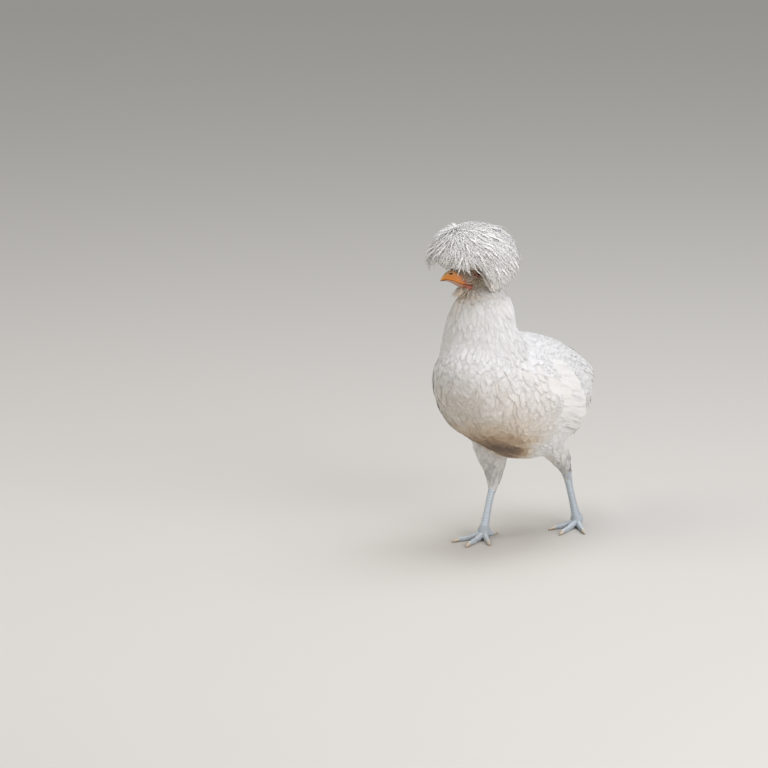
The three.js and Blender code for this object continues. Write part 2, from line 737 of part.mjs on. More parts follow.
addPart('torso', trunk, WHITE_PLUMAGE);
addPart('neck', neck.subtract(trunkRoom), WHITE_PLUMAGE);
addPart(
  'head',
  joined([head, eyelid(1, 0), eyelid(-1, 0)])
    .subtract(joined([neckRoom, eyeBall(1, EYE_MARGIN), eyeBall(-1, EYE_MARGIN)])),
  WHITE_PLUMAGE,
);
addPart('eye_left', eyes.left, DARK_EYE);
addPart('eye_right', eyes.right, DARK_EYE);
addPart('bill_upper', upperBill.subtract(joined([headRoom, nostril(1), nostril(-1)])), ORANGE_BILL);
addPart('bill_lower', lowerBill.subtract(joined([headRoom, neckRoom])), ORANGE_BILL);
const billRoom = joined([
  billHalf(LOWER_BILL_TIP, lowerDepth, -1, WATTLE_MARGIN),
  billHalf(BILL_TIP, upperDepth, 1, WATTLE_MARGIN),
]);
for (const [name, side] of [['left', 1], ['right', -1]]) {
  addPart(`wattle_${name}`, wattle(side).subtract(joined([headRoom, neckRoom, billRoom])), RED_SKIN);
  addPart(`earlobe_${name}`, earlobe(side, 0).subtract(joined([headRoom, neckRoom])), WHITE_SKIN);
  addPart(`wing_${name}`, wingSolid(side), WHITE_PLUMAGE);
}
const combBed = joined([headRoom, billHalf(BILL_TIP, upperDepth, 1, BILL_MARGIN)]);
addPart('comb', combSolid().subtract(combBed), RED_SKIN);
const combRoom = headBall(0, 29, 11, 8, 6.5, 7.5, 0, 10);
const sides = [1, -1].flatMap((side) => [
  eyelid(side, EYE_MARGIN), eyeBall(side, EYE_MARGIN), earlobe(side, JOIN_GAP),
]);
const face = joined([headRoom, neckRoom, combRoom, ...sides]);
addPart('crest', crestSolid().subtract(face), WHITE_PLUMAGE);
addPart('tail', tailSolid(), WHITE_PLUMAGE);
for (const [name, leg] of Object.entries(LEGS)) {
  const path = legPath(leg);
  addPart(`thigh_${name}`, thighSolid(leg, path), WHITE_PLUMAGE);
  addPart(`shank_${name}`, shankSolid(leg, path), SLATE_SKIN);
  addPart(`foot_${name}`, footSolid(leg, path), SLATE_SKIN);
  for (const toe of TOES) {
    const claw = clawSolid(toePath(leg, toe), toe).trimByPlane([0, 0, 1], FLOOR);
    addPart(`claw_${name}_${toe.name}`, claw, HORN_CLAW);
  }
}

// The origin goes to the middle of the bird's box, on the floor.
const box = new THREE.Box3().setFromObject(hen);
hen.position.set(-(box.min.x + box.max.x) / 2, -(box.min.y + box.max.y) / 2, -box.min.z);

const model = new THREE.Group();
model.add(hen);

export default model;
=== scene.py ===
import math
from itertools import product

import bmesh
import bpy
import numpy as np
from mathutils import Matrix, Vector
from mathutils.bvhtree import BVHTree


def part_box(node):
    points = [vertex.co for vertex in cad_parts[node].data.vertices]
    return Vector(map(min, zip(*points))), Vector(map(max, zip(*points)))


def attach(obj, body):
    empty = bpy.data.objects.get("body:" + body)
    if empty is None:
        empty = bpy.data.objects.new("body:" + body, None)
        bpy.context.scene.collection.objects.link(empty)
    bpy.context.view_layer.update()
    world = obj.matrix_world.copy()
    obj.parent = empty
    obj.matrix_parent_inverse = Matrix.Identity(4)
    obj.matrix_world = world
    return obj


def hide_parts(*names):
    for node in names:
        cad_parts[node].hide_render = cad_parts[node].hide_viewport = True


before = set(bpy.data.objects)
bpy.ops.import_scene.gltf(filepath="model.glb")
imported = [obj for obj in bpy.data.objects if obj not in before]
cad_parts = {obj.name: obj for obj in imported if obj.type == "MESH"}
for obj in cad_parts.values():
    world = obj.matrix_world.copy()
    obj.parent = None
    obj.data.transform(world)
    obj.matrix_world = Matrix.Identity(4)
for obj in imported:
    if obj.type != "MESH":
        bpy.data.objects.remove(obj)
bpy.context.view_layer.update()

# Skin
# The hen's own skin under the plumage: one soft surface over the trunk, neck, head and thighs, with the arm
# of the folded wing swelling on each flank. It is drawn from the solid parts and lies inside them by the
# depth of the coat.

MM = 0.001
UP = Vector((0, 0, 1))
SKIN_GRAIN = 2.4 * MM
SEAM = 0.5 * MM  # more than the gap between two solid parts
WELD = 0.01 * MM  # corners of a solid part that are nearer than this are one
BREAST_AHEAD = 192  # the breast's foremost point, from the spot that all distances ahead are counted from
ZERO_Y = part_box("torso")[0].y + BREAST_AHEAD * MM


def at(left, ahead, up):
    """A point of the hen, given in millimetres to its left, ahead and up."""
    return Vector((left * MM, ZERO_Y - ahead * MM, up * MM))


def middle(node):
    """The middle of a solid part's box."""
    low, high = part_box(node)
    return (low + high) / 2


EYE_AHEAD = 14  # of the middle of the skull
EYE_UP = 3
head_left = (middle("eye_left") - middle("eye_right")).normalized()
head_ahead = Vector((head_left.y, -head_left.x, 0))
head_middle = (middle("eye_left") + middle("eye_right")) / 2 - head_ahead * EYE_AHEAD * MM - UP * EYE_UP * MM


def in_head(left, ahead, up):
    """A point of the head, given in millimetres from the middle of the skull."""
    return head_middle + (head_left * left + head_ahead * ahead + UP * up) * MM


def smooth(value, start, end):
    """Goes softly from 0 at start to 1 at end. It takes numbers and arrays."""
    share = np.clip((value - start) / (end - start), 0, 1)
    return share * share * (3 - 2 * share)


def join(form, part):
    """Adds all of a second bmesh to a first one. The second goes."""
    mesh = bpy.data.meshes.new("part")
    part.to_mesh(mesh)
    part.free()
    form.from_mesh(mesh)
    bpy.data.meshes.remove(mesh)


def merged_copy(nodes, swell):
    """The surfaces of some solid parts in one bmesh, each swollen to close the gap to its neighbour."""
    form = bmesh.new()
    for node in nodes:
        part = bmesh.new()
        part.from_mesh(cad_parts[node].data)
        bmesh.ops.remove_doubles(part, verts=part.verts, dist=WELD)
        part.normal_update()
        for vert in part.verts:
            vert.co += vert.normal * swell
        join(form, part)
    return form


def mesh_object(name, form):
    """Turns a bmesh into an object of that name, shaded smooth, and frees the bmesh."""
    mesh = bpy.data.meshes.new(name)
    form.to_mesh(mesh)
    form.free()
    mesh.shade_smooth()
    piece = bpy.data.objects.new(name, mesh)
    bpy.context.scene.collection.objects.link(piece)
    return piece


def modified(piece):
    """The mesh of an object with its modifiers applied, in a new bmesh. The object goes."""
    graph = bpy.context.evaluated_depsgraph_get()
    mesh = bpy.data.meshes.new_from_object(piece.evaluated_get(graph))
    form = bmesh.new()
    form.from_mesh(mesh)
    bpy.data.meshes.remove(mesh)
    bpy.data.objects.remove(piece)
    return form


def smoothed(form, rounds):
    """Evens out a bmesh, a few times over."""
    for _ in range(rounds):
        bmesh.ops.smooth_vert(
            form, verts=form.verts, factor=0.5, use_axis_x=True, use_axis_y=True, use_axis_z=True
        )
    form.normal_update()
    return form


def remeshed(form, grain, rounds):
    """The one outer surface of all that a bmesh holds, in even faces, smoothed."""
    rough = mesh_object("rough", form)
    remesh = rough.modifiers.new("even", "REMESH")
    remesh.mode = "VOXEL"
    remesh.voxel_size = grain
    return smoothed(modified(rough), rounds)


def ball(form, place, fine=24):
    """Adds a round to a bmesh. place says where a point of the unit ball goes."""
    made = bmesh.ops.create_uvsphere(form, u_segments=fine, v_segments=fine * 2 // 3, radius=1)
    for vert in made["verts"]:
        vert.co = place(*vert.co)
    return made["verts"]


FLESH = ("torso", "neck", "head", "thigh_left", "thigh_right")
SHANK_SKIN_END = 44 * MM  # the feathered part of the legs is carried on down inside the bare part
body_form = merged_copy(("shank_left", "shank_right"), SEAM)
bmesh.ops.bisect_plane(
    body_form,
    geom=body_form.verts[:] + body_form.edges[:] + body_form.faces[:],
    plane_co=(0, 0, SHANK_SKIN_END),
    plane_no=(0, 0, -1),
    clear_outer=True,
)
bmesh.ops.holes_fill(body_form, edges=[edge for edge in body_form.edges if edge.is_boundary])
join(body_form, merged_copy(FLESH, SEAM))
body_form = remeshed(body_form, SKIN_GRAIN, rounds=6)
plumage_tree = BVHTree.FromBMesh(body_form)
FLANK_OUT = 300 * MM  # well outside the bird


def flank(side, ahead, up, lift):
    """A point over the flank, on the side given by 1 for left and -1 for right, lifted off the plumage."""
    start = at(0, ahead, up) + Vector((side * FLANK_OUT, 0, 0))
    spot, facing, _, _ = plumage_tree.ray_cast(start, Vector((-side, 0, 0)))
    return spot + facing * lift * MM


ARM_AHEAD = 78  # the arm of the folded wing
ARM_UP = 218
ARM_HALF_LENGTH = 50
ARM_HALF_HEIGHT = 46
ARM_DROP = 8  # of its rear end
ARM_SWELL = 8


def in_arm(side, x, y, z):
    """Where a point of the unit ball lies in the arm of the folded wing, which swells out of the flank."""
    up = ARM_UP + ARM_HALF_HEIGHT * z - ARM_DROP * (1 - x) / 2
    return flank(side, ARM_AHEAD + ARM_HALF_LENGTH * x, up, ARM_SWELL * y)


for side in (1, -1):
    ball(body_form, lambda x, y, z: in_arm(side, x, y, z), 32)
KNOB_AHEAD = 10  # the round knob on the skull that the crest grows from
KNOB_UP = 20
KNOB_RADIUS = 21
ball(
    body_form,
    lambda x, y, z: in_head(x * KNOB_RADIUS, KNOB_AHEAD + y * KNOB_RADIUS, KNOB_UP + z * KNOB_RADIUS),
)
skin_form = remeshed(body_form, SKIN_GRAIN, rounds=12)

TRUNK_DEPTH = 5.4
NECK_DEPTH = 4.8
HEAD_DEPTH = 2.2
THIGH_DEPTH = 3.6
SHANK_DEPTH = 2.6
# Between which heights, and for the head distances from its middle, the depth changes.
NECK_FROM = (290, 320)
THIGH_FROM = (130, 112)
SHANK_FROM = (80, 62)
HEAD_FROM = (46, 34)
head_spot = np.array(in_head(0, 2, 6))


def distance(points, *spots):
    """How far each of some points is from the nearest spot, in metres."""
    return np.min([np.linalg.norm(points - np.array(spot), axis=1) for spot in spots], axis=0)


def coat_depth(points):
    """How deep the plumage is at each of some points, in metres."""
    high = points[:, 2] / MM
    depth = TRUNK_DEPTH + (NECK_DEPTH - TRUNK_DEPTH) * smooth(high, *NECK_FROM)
    depth += (THIGH_DEPTH - TRUNK_DEPTH) * smooth(high, *THIGH_FROM)
    depth += (SHANK_DEPTH - THIGH_DEPTH) * smooth(high, *SHANK_FROM)
    on_head = smooth(distance(points, head_spot) / MM, *HEAD_FROM)
    return (depth + (HEAD_DEPTH - depth) * on_head) * MM


def patchy(points, size, seed):
    """Soft seeded waves from -1 to 1 over the body, for drift in the lie and length of the feathers."""
    wave = np.random.default_rng(seed)
    total = np.zeros(len(points))
    for _ in range(6):
        direction = wave.normal(size=3) / size
        total += np.sin(points @ direction * 2 + wave.uniform(0, 6.28))
    return total / 3


FOLD_HEIGHT = 2.4  # of the soft folds that the loose skin of the lower breast and belly lies in
FOLD_SIZE = 0.03  # in metres, as are the heights between which the folds set in
FOLD_SQUASH = [1, 1, 2.4]  # the folds are wider than high
FOLD_TOP = (0.25, 0.19)
FOLD_FOOT = (0.105, 0.13)
skin_points = np.array([v.co for v in skin_form.verts])
folds = patchy(skin_points * FOLD_SQUASH, FOLD_SIZE, seed=12) * smooth(skin_points[:, 2], *FOLD_TOP)
folds *= smooth(skin_points[:, 2], *FOLD_FOOT) * FOLD_HEIGHT * MM
for vert, inwards in zip(skin_form.verts, coat_depth(skin_points) - folds):
    vert.co -= vert.normal * inwards
skin_form = smoothed(skin_form, rounds=3)
skin_tree = BVHTree.FromBMesh(skin_form)


def linear(code):
    """A colour written as sRGB hex, in the linear values that shaders take."""
    parts = [int(code[i : i + 2], 16) / 255 for i in (0, 2, 4)]
    return [c / 12.92 if c <= 0.04045 else ((c + 0.055) / 1.055) ** 2.4 for c in parts] + [1]


def new_finish(name):
    """An empty node material."""
    finish = bpy.data.materials.new(name)
    finish.use_nodes = True
    finish.node_tree.nodes.clear()
    return finish


def add(finish, kind, inputs=None, **settings):
    """Adds one node to a material, with its settings, and fills or links its inputs.

    A mix of colours takes its share at input 0 and its colours at 6 and 7, and gives its result at output 2.
    """
    made = finish.node_tree.nodes.new("ShaderNode" + kind)
    for name, value in settings.items():
        setattr(made, name, value)
    for name, value in (inputs or {}).items():
        if isinstance(value, bpy.types.NodeSocket):
            finish.node_tree.links.new(value, made.inputs[name])
        else:
            made.inputs[name].default_value = value
    return made


# Living skin, pink and finely pimpled where each feather grows, here under white down that pales it.
PIMPLE_SPACING = 3.03 * MM
MOTTLE_SIZE = 16.67 * MM
bare_skin = new_finish("downy_skin")
skin_place = add(bare_skin, "TexCoord").outputs["Object"]
pimples = add(bare_skin, "TexVoronoi", {"Vector": skin_place, "Scale": 1 / PIMPLE_SPACING})
mottle = add(bare_skin, "TexNoise", {"Vector": skin_place, "Scale": 1 / MOTTLE_SIZE, "Detail": 3})
skin_colour = add(
    bare_skin,
    "Mix",
    {0: mottle.outputs["Fac"], 6: linear("ece6dc"), 7: linear("f4f0ea")},
    data_type="RGBA",
)
skin_bump = add(
    bare_skin,
    "Bump",
    {"Height": pimples.outputs["Distance"], "Strength": 0.3, "Distance": 0.4 * MM},
)
skin_shader = add(
    bare_skin,
    "BsdfPrincipled",
    {"Base Color": skin_colour.outputs[2], "Roughness": 0.8, "Normal": skin_bump.outputs["Normal"]},
)
add(bare_skin, "OutputMaterial", {"Surface": skin_shader.outputs["BSDF"]})

skin = mesh_object("skin", skin_form)
skin.data.materials.append(bare_skin)
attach(skin, "root")
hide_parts(*FLESH)

# Eyes
# Two moist balls sunk between the lids. A clear wet front covers a round black pupil and a reddish bay iris,
# which darkens to its rim.

EYE_LEFT = 12
EYE_RADIUS = 5.2
EYE_HALF_DEPTH = 4.8
CLOSE = 0.005 * MM  # the seam and the poles of a rolled grid are welded within this


def closed(form):
    """Welds the seams of the rolled grids in a bmesh and turns all faces outwards."""
    bmesh.ops.remove_doubles(form, verts=form.verts, dist=CLOSE)
    bmesh.ops.recalc_face_normals(form, faces=form.faces)
    return form


def places(piece):
    """Where the vertices of an object are."""
    return np.array([v.co for v in piece.data.vertices])


def from_head(points):
    """How far points lie to the left of the skull's middle, ahead of it and above it, in millimetres."""
    return ((points - np.array(head_middle)) @ np.array([head_left, head_ahead, UP]).T / MM).T


def paint(piece, name, *masks):
    """Stores up to four masks from 0 to 1 at the vertices of an object, for its material."""
    colour = np.ones((len(piece.data.vertices), 4), np.float32)
    for i, mask in enumerate(masks):
        colour[:, i] = mask
    piece.data.attributes.new(name, "FLOAT_COLOR", "POINT").data.foreach_set("color", colour.ravel())


# A wet eye: the iris has fine fibres that run outwards, and the clear film over it gives a sharp highlight.
IRIS_FIBRE = 0.714 * MM
wet_eye = new_finish("wet_eye")
iris_mask = add(wet_eye, "Attribute", attribute_name="Iris")
fibre_place = add(wet_eye, "TexCoord").outputs["Object"]
fibres = add(wet_eye, "TexNoise", {"Vector": fibre_place, "Scale": 1 / IRIS_FIBRE, "Detail": 3})
fibre_shift = add(wet_eye, "MapRange", {"Value": fibres.outputs["Fac"], "To Min": -0.05, "To Max": 0.05})
from_axis = add(wet_eye, "Math", {0: iris_mask.outputs["Fac"], 1: fibre_shift.outputs[0]}, operation="ADD")
iris_ramp = add(wet_eye, "ValToRGB", {"Fac": from_axis.outputs[0]})
iris_ramp.color_ramp.elements[0].position = 0.3
iris_ramp.color_ramp.elements[0].color = linear("080605")
iris_ramp.color_ramp.elements[1].position = 0.86
iris_ramp.color_ramp.elements[1].color = linear("1c0f0a")
for position, code in ((0.36, "8a3f1c"), (0.56, "b0612c"), (0.72, "6f3216")):
    iris_ramp.color_ramp.elements.new(position).color = linear(code)
eye_shader = add(
    wet_eye,
    "BsdfPrincipled",
    {
        "Base Color": iris_ramp.outputs["Color"],
        "Roughness": 0.12,
        "Coat Weight": 1.0,
        "Coat Roughness": 0.03,
    },
)
add(wet_eye, "OutputMaterial", {"Surface": eye_shader.outputs["BSDF"]})

for side, side_name in ((1, "left"), (-1, "right")):
    eye_form = bmesh.new()
    ball(
        eye_form,
        lambda x, y, z: in_head(
            side * (EYE_LEFT + EYE_HALF_DEPTH * z), EYE_AHEAD + EYE_RADIUS * x, EYE_UP + EYE_RADIUS * y
        ),
        48,
    )
    eye = mesh_object(f"eyeball_{side_name}", closed(eye_form))
    left, ahead, up = from_head(places(eye))
    paint(eye, "Iris", *[np.hypot(ahead - EYE_AHEAD, up - EYE_UP) / EYE_RADIUS] * 3)
    eye.data.materials.append(wet_eye)
    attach(eye, "root")
    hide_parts(f"eye_{side_name}")

# Eyelids
# A roll of bare wrinkled skin round each eye. The upper lid is the thicker one, and both meet in a point at
# the front and back corners.

OPENING_HALF_LENGTH = 4.5
OPENING_HALF_HEIGHT = 2.7
CORNER = 0.1  # how far the corners are drawn out, as a share
UPPER_LID = 1.25  # how many times as thick as the lower one


def profile(points):
    """A smooth curve through a few [place, value] points, as a function."""
    stops, values = np.array(points, float).T
    slopes = np.gradient(values, stops)

    def value(place):
        place = np.clip(place, stops[0], stops[-1])
        i = np.clip(np.searchsorted(stops, place) - 1, 0, len(stops) - 2)
        width = stops[i + 1] - stops[i]
        t = (place - stops[i]) / width
        start = values[i] * (1 + 2 * t) * (1 - t) ** 2 + slopes[i] * width * t * (1 - t) ** 2
        return start + values[i + 1] * t**2 * (3 - 2 * t) + slopes[i + 1] * width * t**2 * (t - 1)

    return value


def rolled(form, place, around, along):
    """Adds a rolled-up grid to a bmesh. place says where a turn and a share of its length go."""
    made = bmesh.ops.create_grid(form, x_segments=around, y_segments=along, size=0.5)
    for vert in made["verts"]:
        vert.co = place((vert.co.x + 0.5) * 2 * math.pi, vert.co.y + 0.5)
    return made["verts"]


BLOTCH_SIZE = 3.846 * MM
FACE_GRAIN = 0.769 * MM


def bare_face_skin(name, dark, light):
    """Bare skin of the face: blotched by its blood, finely grained, and moist enough for a soft gloss."""
    finish = new_finish(name)
    grain_place = add(finish, "TexCoord").outputs["Object"]
    blush = add(finish, "TexNoise", {"Vector": grain_place, "Scale": 1 / BLOTCH_SIZE, "Detail": 3})
    colour = add(
        finish,
        "Mix",
        {0: blush.outputs["Fac"], 6: linear(dark), 7: linear(light)},
        data_type="RGBA",
    )
    grains = add(finish, "TexVoronoi", {"Vector": grain_place, "Scale": 1 / FACE_GRAIN})
    bump = add(
        finish,
        "Bump",
        {"Height": grains.outputs["Distance"], "Strength": 0.5, "Distance": 0.25 * MM},
    )
    shader = add(
        finish,
        "BsdfPrincipled",
        {"Base Color": colour.outputs[2], "Roughness": 0.5, "Normal": bump.outputs["Normal"]},
    )
    add(finish, "OutputMaterial", {"Surface": shader.outputs["BSDF"]})
    return finish


# The skin of the lids is thin and pinkish brown.
lid_skin = bare_face_skin("pinkish_lid_skin", "8f7262", "c6a792")

# Across a lid, by the share of the way round its roll: millimetres out from the opening's edge, and over the
# eyeball there.
lid_spread = profile(
    [[0, 0], [0.12, 0.4], [0.24, 0.9], [0.36, 1.4], [0.5, 1.9], [0.64, 2.5], [0.78, 3.8], [1, 0]]
)
lid_rise = profile(
    [[0, 0.1], [0.12, 0.85], [0.24, 0.5], [0.36, 0], [0.5, 0.3], [0.64, -0.6], [0.78, -2.8], [1, 0]]
)


def lid_place(side, turn, share):
    """A point of a lid by the turn round the eye, from its front corner, and the share round the roll."""
    front, top = math.cos(turn), math.sin(turn)
    edge = 1 / math.hypot(front / OPENING_HALF_LENGTH, top / OPENING_HALF_HEIGHT)
    edge *= 1 + CORNER * abs(front) ** 8
    reach = edge + lid_spread(share)
    ball_rise = EYE_HALF_DEPTH * math.sqrt(1 - min(1, edge / EYE_RADIUS) ** 2)
    thick = UPPER_LID if top > 0 else 1
    rise = ball_rise + lid_rise(share) * thick
    return in_head(side * (EYE_LEFT + rise), EYE_AHEAD + reach * front, EYE_UP + reach * top)


lid_form = bmesh.new()
for side in (1, -1):
    rolled(lid_form, lambda turn, share: lid_place(side, turn, share), 64, 24)
eyelids = mesh_object("eyelids", closed(lid_form))
eyelids.data.materials.append(lid_skin)
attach(eyelids, "root")

# Bill
# Horn over bone, in two halves along a mouth line that falls towards the gape. The upper one arches up round
# the slits of the nostrils, as this breed's does, and hooks down at its tip.

GAPE_AHEAD = 24
BILL_TIP = 60
LOWER_BILL_TIP = 57
BILL_BACK = 18
BLUNT = 0.07  # share of a half's length over which its tip rounds off
MOUTH_GAP = 0.3
NOSTRIL_AHEAD = 46.5
NOSTRIL_UP = 3.6
NOSTRIL_HALF_LENGTH = 2.5
NOSTRIL_SLANT = 0.4
NOSTRIL_DEPTH = 2.0
ARCH_HEIGHT = 1.1  # of the swelling over a nostril
# By the distance ahead in the head: the mouth line's height, and the halves' half width and depths.
mouth_line = profile([[GAPE_AHEAD, -13.4], [31, -11], [38, -8.2], [46, -4.9], [54, -4], [BILL_TIP, -6.6]])
bill_half_width = profile([[GAPE_AHEAD, 8.6], [40, 6.3], [52, 3.5], [BILL_TIP, 0.9]])
upper_depth = profile([[GAPE_AHEAD, 20.5], [34, 17.3], [42, 14.4], [48, 10.8], [54, 6.6], [BILL_TIP, 1.5]])
lower_depth = profile([[GAPE_AHEAD, 5.4], [42, 4.1], [LOWER_BILL_TIP, 1.3]])


def bill_half(name, tip, depth, way):
    """One half of the bill. way is 1 for the upper half and -1 for the lower one."""
    form = bmesh.new()

    def place(turn, share):
        ahead = tip + (BILL_BACK - tip) * share
        blunt = math.sqrt(1 - (1 - min(1, share / BLUNT)) ** 2) * (0 if share > 0.999 else 1)
        side, rise = math.sin(turn), math.cos(turn)
        left = bill_half_width(ahead) * side * (1 - 0.1 * max(0, rise)) * blunt
        high = depth(ahead) * max(0, rise) ** 0.85 * blunt
        return in_head(left, ahead, mouth_line(ahead) + way * (MOUTH_GAP + high))

    rolled(form, place, 96, 110)
    return mesh_object(name, closed(form))


HORN_GRAIN = 2.38 * MM


def bill_horn(name, low, painted_highlight_and_shade):
    """Horn of the bill: waxy and orange, redder at its root and dark at the tip.

    Away from the mouth line it takes a second colour: a painted highlight on the top of the upper half and
    painted shade under the lower half.
    """
    horn = new_finish(name)
    masks = add(horn, "Attribute", attribute_name="Horn")
    parts = add(horn, "SeparateColor", {"Color": masks.outputs["Color"]})
    grain_place = add(horn, "TexCoord").outputs["Object"]
    grain = add(horn, "TexNoise", {"Vector": grain_place, "Scale": 1 / HORN_GRAIN, "Detail": 4})
    # Far from the mouth line the second colour paints a highlight on the upper half, shade under the lower.
    highlight_and_shade_share = add(horn, "MapRange", {"Value": parts.outputs["Blue"], "From Min": 0.45})
    colour = add(
        horn,
        "Mix",
        {0: highlight_and_shade_share.outputs[0], 6: linear(low), 7: linear(painted_highlight_and_shade)},
        data_type="RGBA",
    )
    # Over it lie the redder root, the grain, the dark tip and painted shade inside the nostrils.
    for share, code, blend_type in (
        (masks.outputs["Alpha"], "c77351", "MIX"),
        (grain.outputs["Fac"], "e2d6c6", "MULTIPLY"),
        (parts.outputs["Green"], "4a2c18", "MIX"),
        (parts.outputs["Red"], "2e1608", "MIX"),
    ):
        layer = {0: share, 6: colour.outputs[2], 7: linear(code)}
        colour = add(horn, "Mix", layer, data_type="RGBA", blend_type=blend_type)
    bump = add(
        horn,
        "Bump",
        {"Height": grain.outputs["Fac"], "Strength": 0.25, "Distance": 0.3 * MM},
    )
    shader = add(
        horn,
        "BsdfPrincipled",
        {
            "Base Color": colour.outputs[2],
            "Roughness": 0.42,
            "Coat Weight": 0.1,
            "Normal": bump.outputs["Normal"],
        },
    )
    add(horn, "OutputMaterial", {"Surface": shader.outputs["BSDF"]})
    return horn


# Each half's second colour is painted light: a highlight on top of the upper half, shade under the lower.
for name, tip, depth, way, low, painted_highlight_and_shade in (
    ("bill_upper", BILL_TIP, upper_depth, 1, "f7992e", "f6cf9e"),
    ("bill_lower", LOWER_BILL_TIP, lower_depth, -1, "d0a48e", "b3988b"),
):
    half = bill_half(f"{name}_horn", tip, depth, way)
    left, ahead, up = from_head(places(half))
    over_mouth = (up - mouth_line(ahead)) * way
    tip_edge = smooth(ahead, 50, 59) * smooth(over_mouth, 1.5, 0.5)
    off, over = ahead - NOSTRIL_AHEAD, up - NOSTRIL_UP
    # The nostril slits are sunk into the horn, and their mask paints the shade inside them.
    slit = ((off + over * NOSTRIL_SLANT) / NOSTRIL_HALF_LENGTH) ** 2 + over**2
    is_side = (np.abs(left) > 1.5) * (way > 0)
    arch = ARCH_HEIGHT * np.exp(-((off / 4) ** 2) - ((over - 2.2) / 2.4) ** 2)
    pit = NOSTRIL_DEPTH * np.clip(1 - slit, 0, 1)
    root = smooth(ahead, 38, GAPE_AHEAD)
    # The third mask, the share of the depth over the mouth line, places that painted highlight and shade.
    paint(half, "Horn", smooth(slit, 1.5, 0.7) * is_side, tip_edge, over_mouth / depth(ahead), root)
    for vert, out in zip(half.data.vertices, np.sign(left) * is_side * (arch - pit)):
        vert.co += head_left * float(out) * MM
    half.data.materials.append(bill_horn(f"{name}_keratin", low, painted_highlight_and_shade))
    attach(half, "root")
    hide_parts(name)

# Wattles, comb and mouth corners
# A hen of this breed has very small wattles, and a comb of two little horns that hide under the crest. Red
# skin folds round the corners of the mouth. All of it is soft, bare and grained.

WATTLE_MIDDLE = (9.6, 24, -14.8)
WATTLE_HALF_SIZE = (1.7, 3.6, 3.3)
WATTLE_CRINKLE = 0.12  # as a share of its thickness
MOUTH_CORNER = ((8.6, 31, -11), (9.4, 26, -12.9), (10.6, 19, -14.6))
COMB_HORN = ((1.0, 26.5, 4), (2.6, 28.5, 10.5), (4.4, 30, 14.6))
LIMB_END = 0.12  # share of half a limb's length over which each end rounds off


def curve(points):
    """A smooth line through some points, which takes 0 to 1 from the first to the last."""
    points = [Vector(p) for p in points]
    points = [points[0] * 2 - points[1], *points, points[-1] * 2 - points[-2]]

    def spot(share):
        place = min(max(share, 0), 1) * (len(points) - 3)
        i = min(int(place), len(points) - 4)
        a, b, c, d = points[i : i + 4]
        near, mid, far = [(q - p).length ** 0.5 for p, q in ((a, b), (b, c), (c, d))]
        leave = ((b - a) / near - (c - a) / (near + mid)) * mid + (c - b)
        reach = (c - b) + ((d - c) / far - (d - b) / (mid + far)) * mid
        t = place - i
        bend = (3 * (c - b) - 2 * leave - reach) * t**2
        return b + leave * t + bend + (2 * (b - c) + leave + reach) * t**3

    return spot


def limb_point(line, radius, front, turn, share, lift=0):
    """A point round a limb's line, turned from its front. radius gives mm for a share of the length."""
    way = (line(min(1, share + 0.01)) - line(max(0, share - 0.01))).normalized()
    face = (front - way * way.dot(front)).normalized()
    reach = (radius(share) + lift) * MM
    return line(share) + (face * math.cos(turn) + way.cross(face) * math.sin(turn)) * reach


def limb(form, line, radius, front, around=20, along=40):
    """Adds a limb to a bmesh: round sections along a line, rounded off at both ends."""

    def blunted(share):
        from_end = min(1, (1 - abs(2 * share - 1)) / LIMB_END)
        return radius(share) * math.sqrt(1 - (1 - from_end) ** 2)

    rolled(form, lambda turn, share: limb_point(line, blunted, front, turn, share), around, along)


def head_line(side, points):
    """A smooth line through points of the head, on the side given by 1 for left and -1 for right."""
    return curve([in_head(side * left, ahead, up) for left, ahead, up in points])


def in_wattle(side, x, y, z):
    """Where a point of the unit ball lies in a wattle, a thin crinkled flap."""
    (left, ahead, up), (thick, long, high) = WATTLE_MIDDLE, WATTLE_HALF_SIZE
    left += thick * x * (1 + WATTLE_CRINKLE * math.sin(7 * y))
    return in_head(side * left, ahead + long * y, up + high * z - 0.6 * y)


# Wattles and mouth corners are full of blood, and so a soft red.
face_skin = bare_face_skin("red_wattle_skin", "a2584a", "cd8470")
soft_form = bmesh.new()
for side in (1, -1):
    ball(soft_form, lambda x, y, z: in_wattle(side, x, y, z), 28)
    limb(soft_form, head_line(side, MOUTH_CORNER), lambda share: 1.0 + 0.9 * share, UP, 16, 24)
soft_face = mesh_object("wattles", closed(soft_form))
soft_face.data.materials.append(face_skin)
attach(soft_face, "root")
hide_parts("wattle_left", "wattle_right")

comb_form = bmesh.new()
for side in (1, -1):
    limb(comb_form, head_line(side, COMB_HORN), lambda share: 2.3 - 1.4 * share, head_ahead, 16, 24)
comb = mesh_object("comb_horns", closed(comb_form))
comb.data.materials.append(face_skin)
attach(comb, "root")
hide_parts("comb")

# Earlobes
# Two small flat lobes of bare white skin, one behind each cheek. They hang against the head and are mostly
# hidden by the crest.

LOBE_MIDDLE = (19.8, 2, -6)
LOBE_HALF_SIZE = (2.8, 4.8, 5.8)
LOBE_BEND = 0.8  # of its top and foot towards the head
LOBE_GRAIN = 1.111 * MM


def in_lobe(side, x, y, z):
    """Where a point of the unit ball lies in an earlobe."""
    (left, ahead, up), (thick, long, high) = LOBE_MIDDLE, LOBE_HALF_SIZE
    return in_head(side * (left + thick * x - LOBE_BEND * z**2), ahead + long * y, up + high * z)


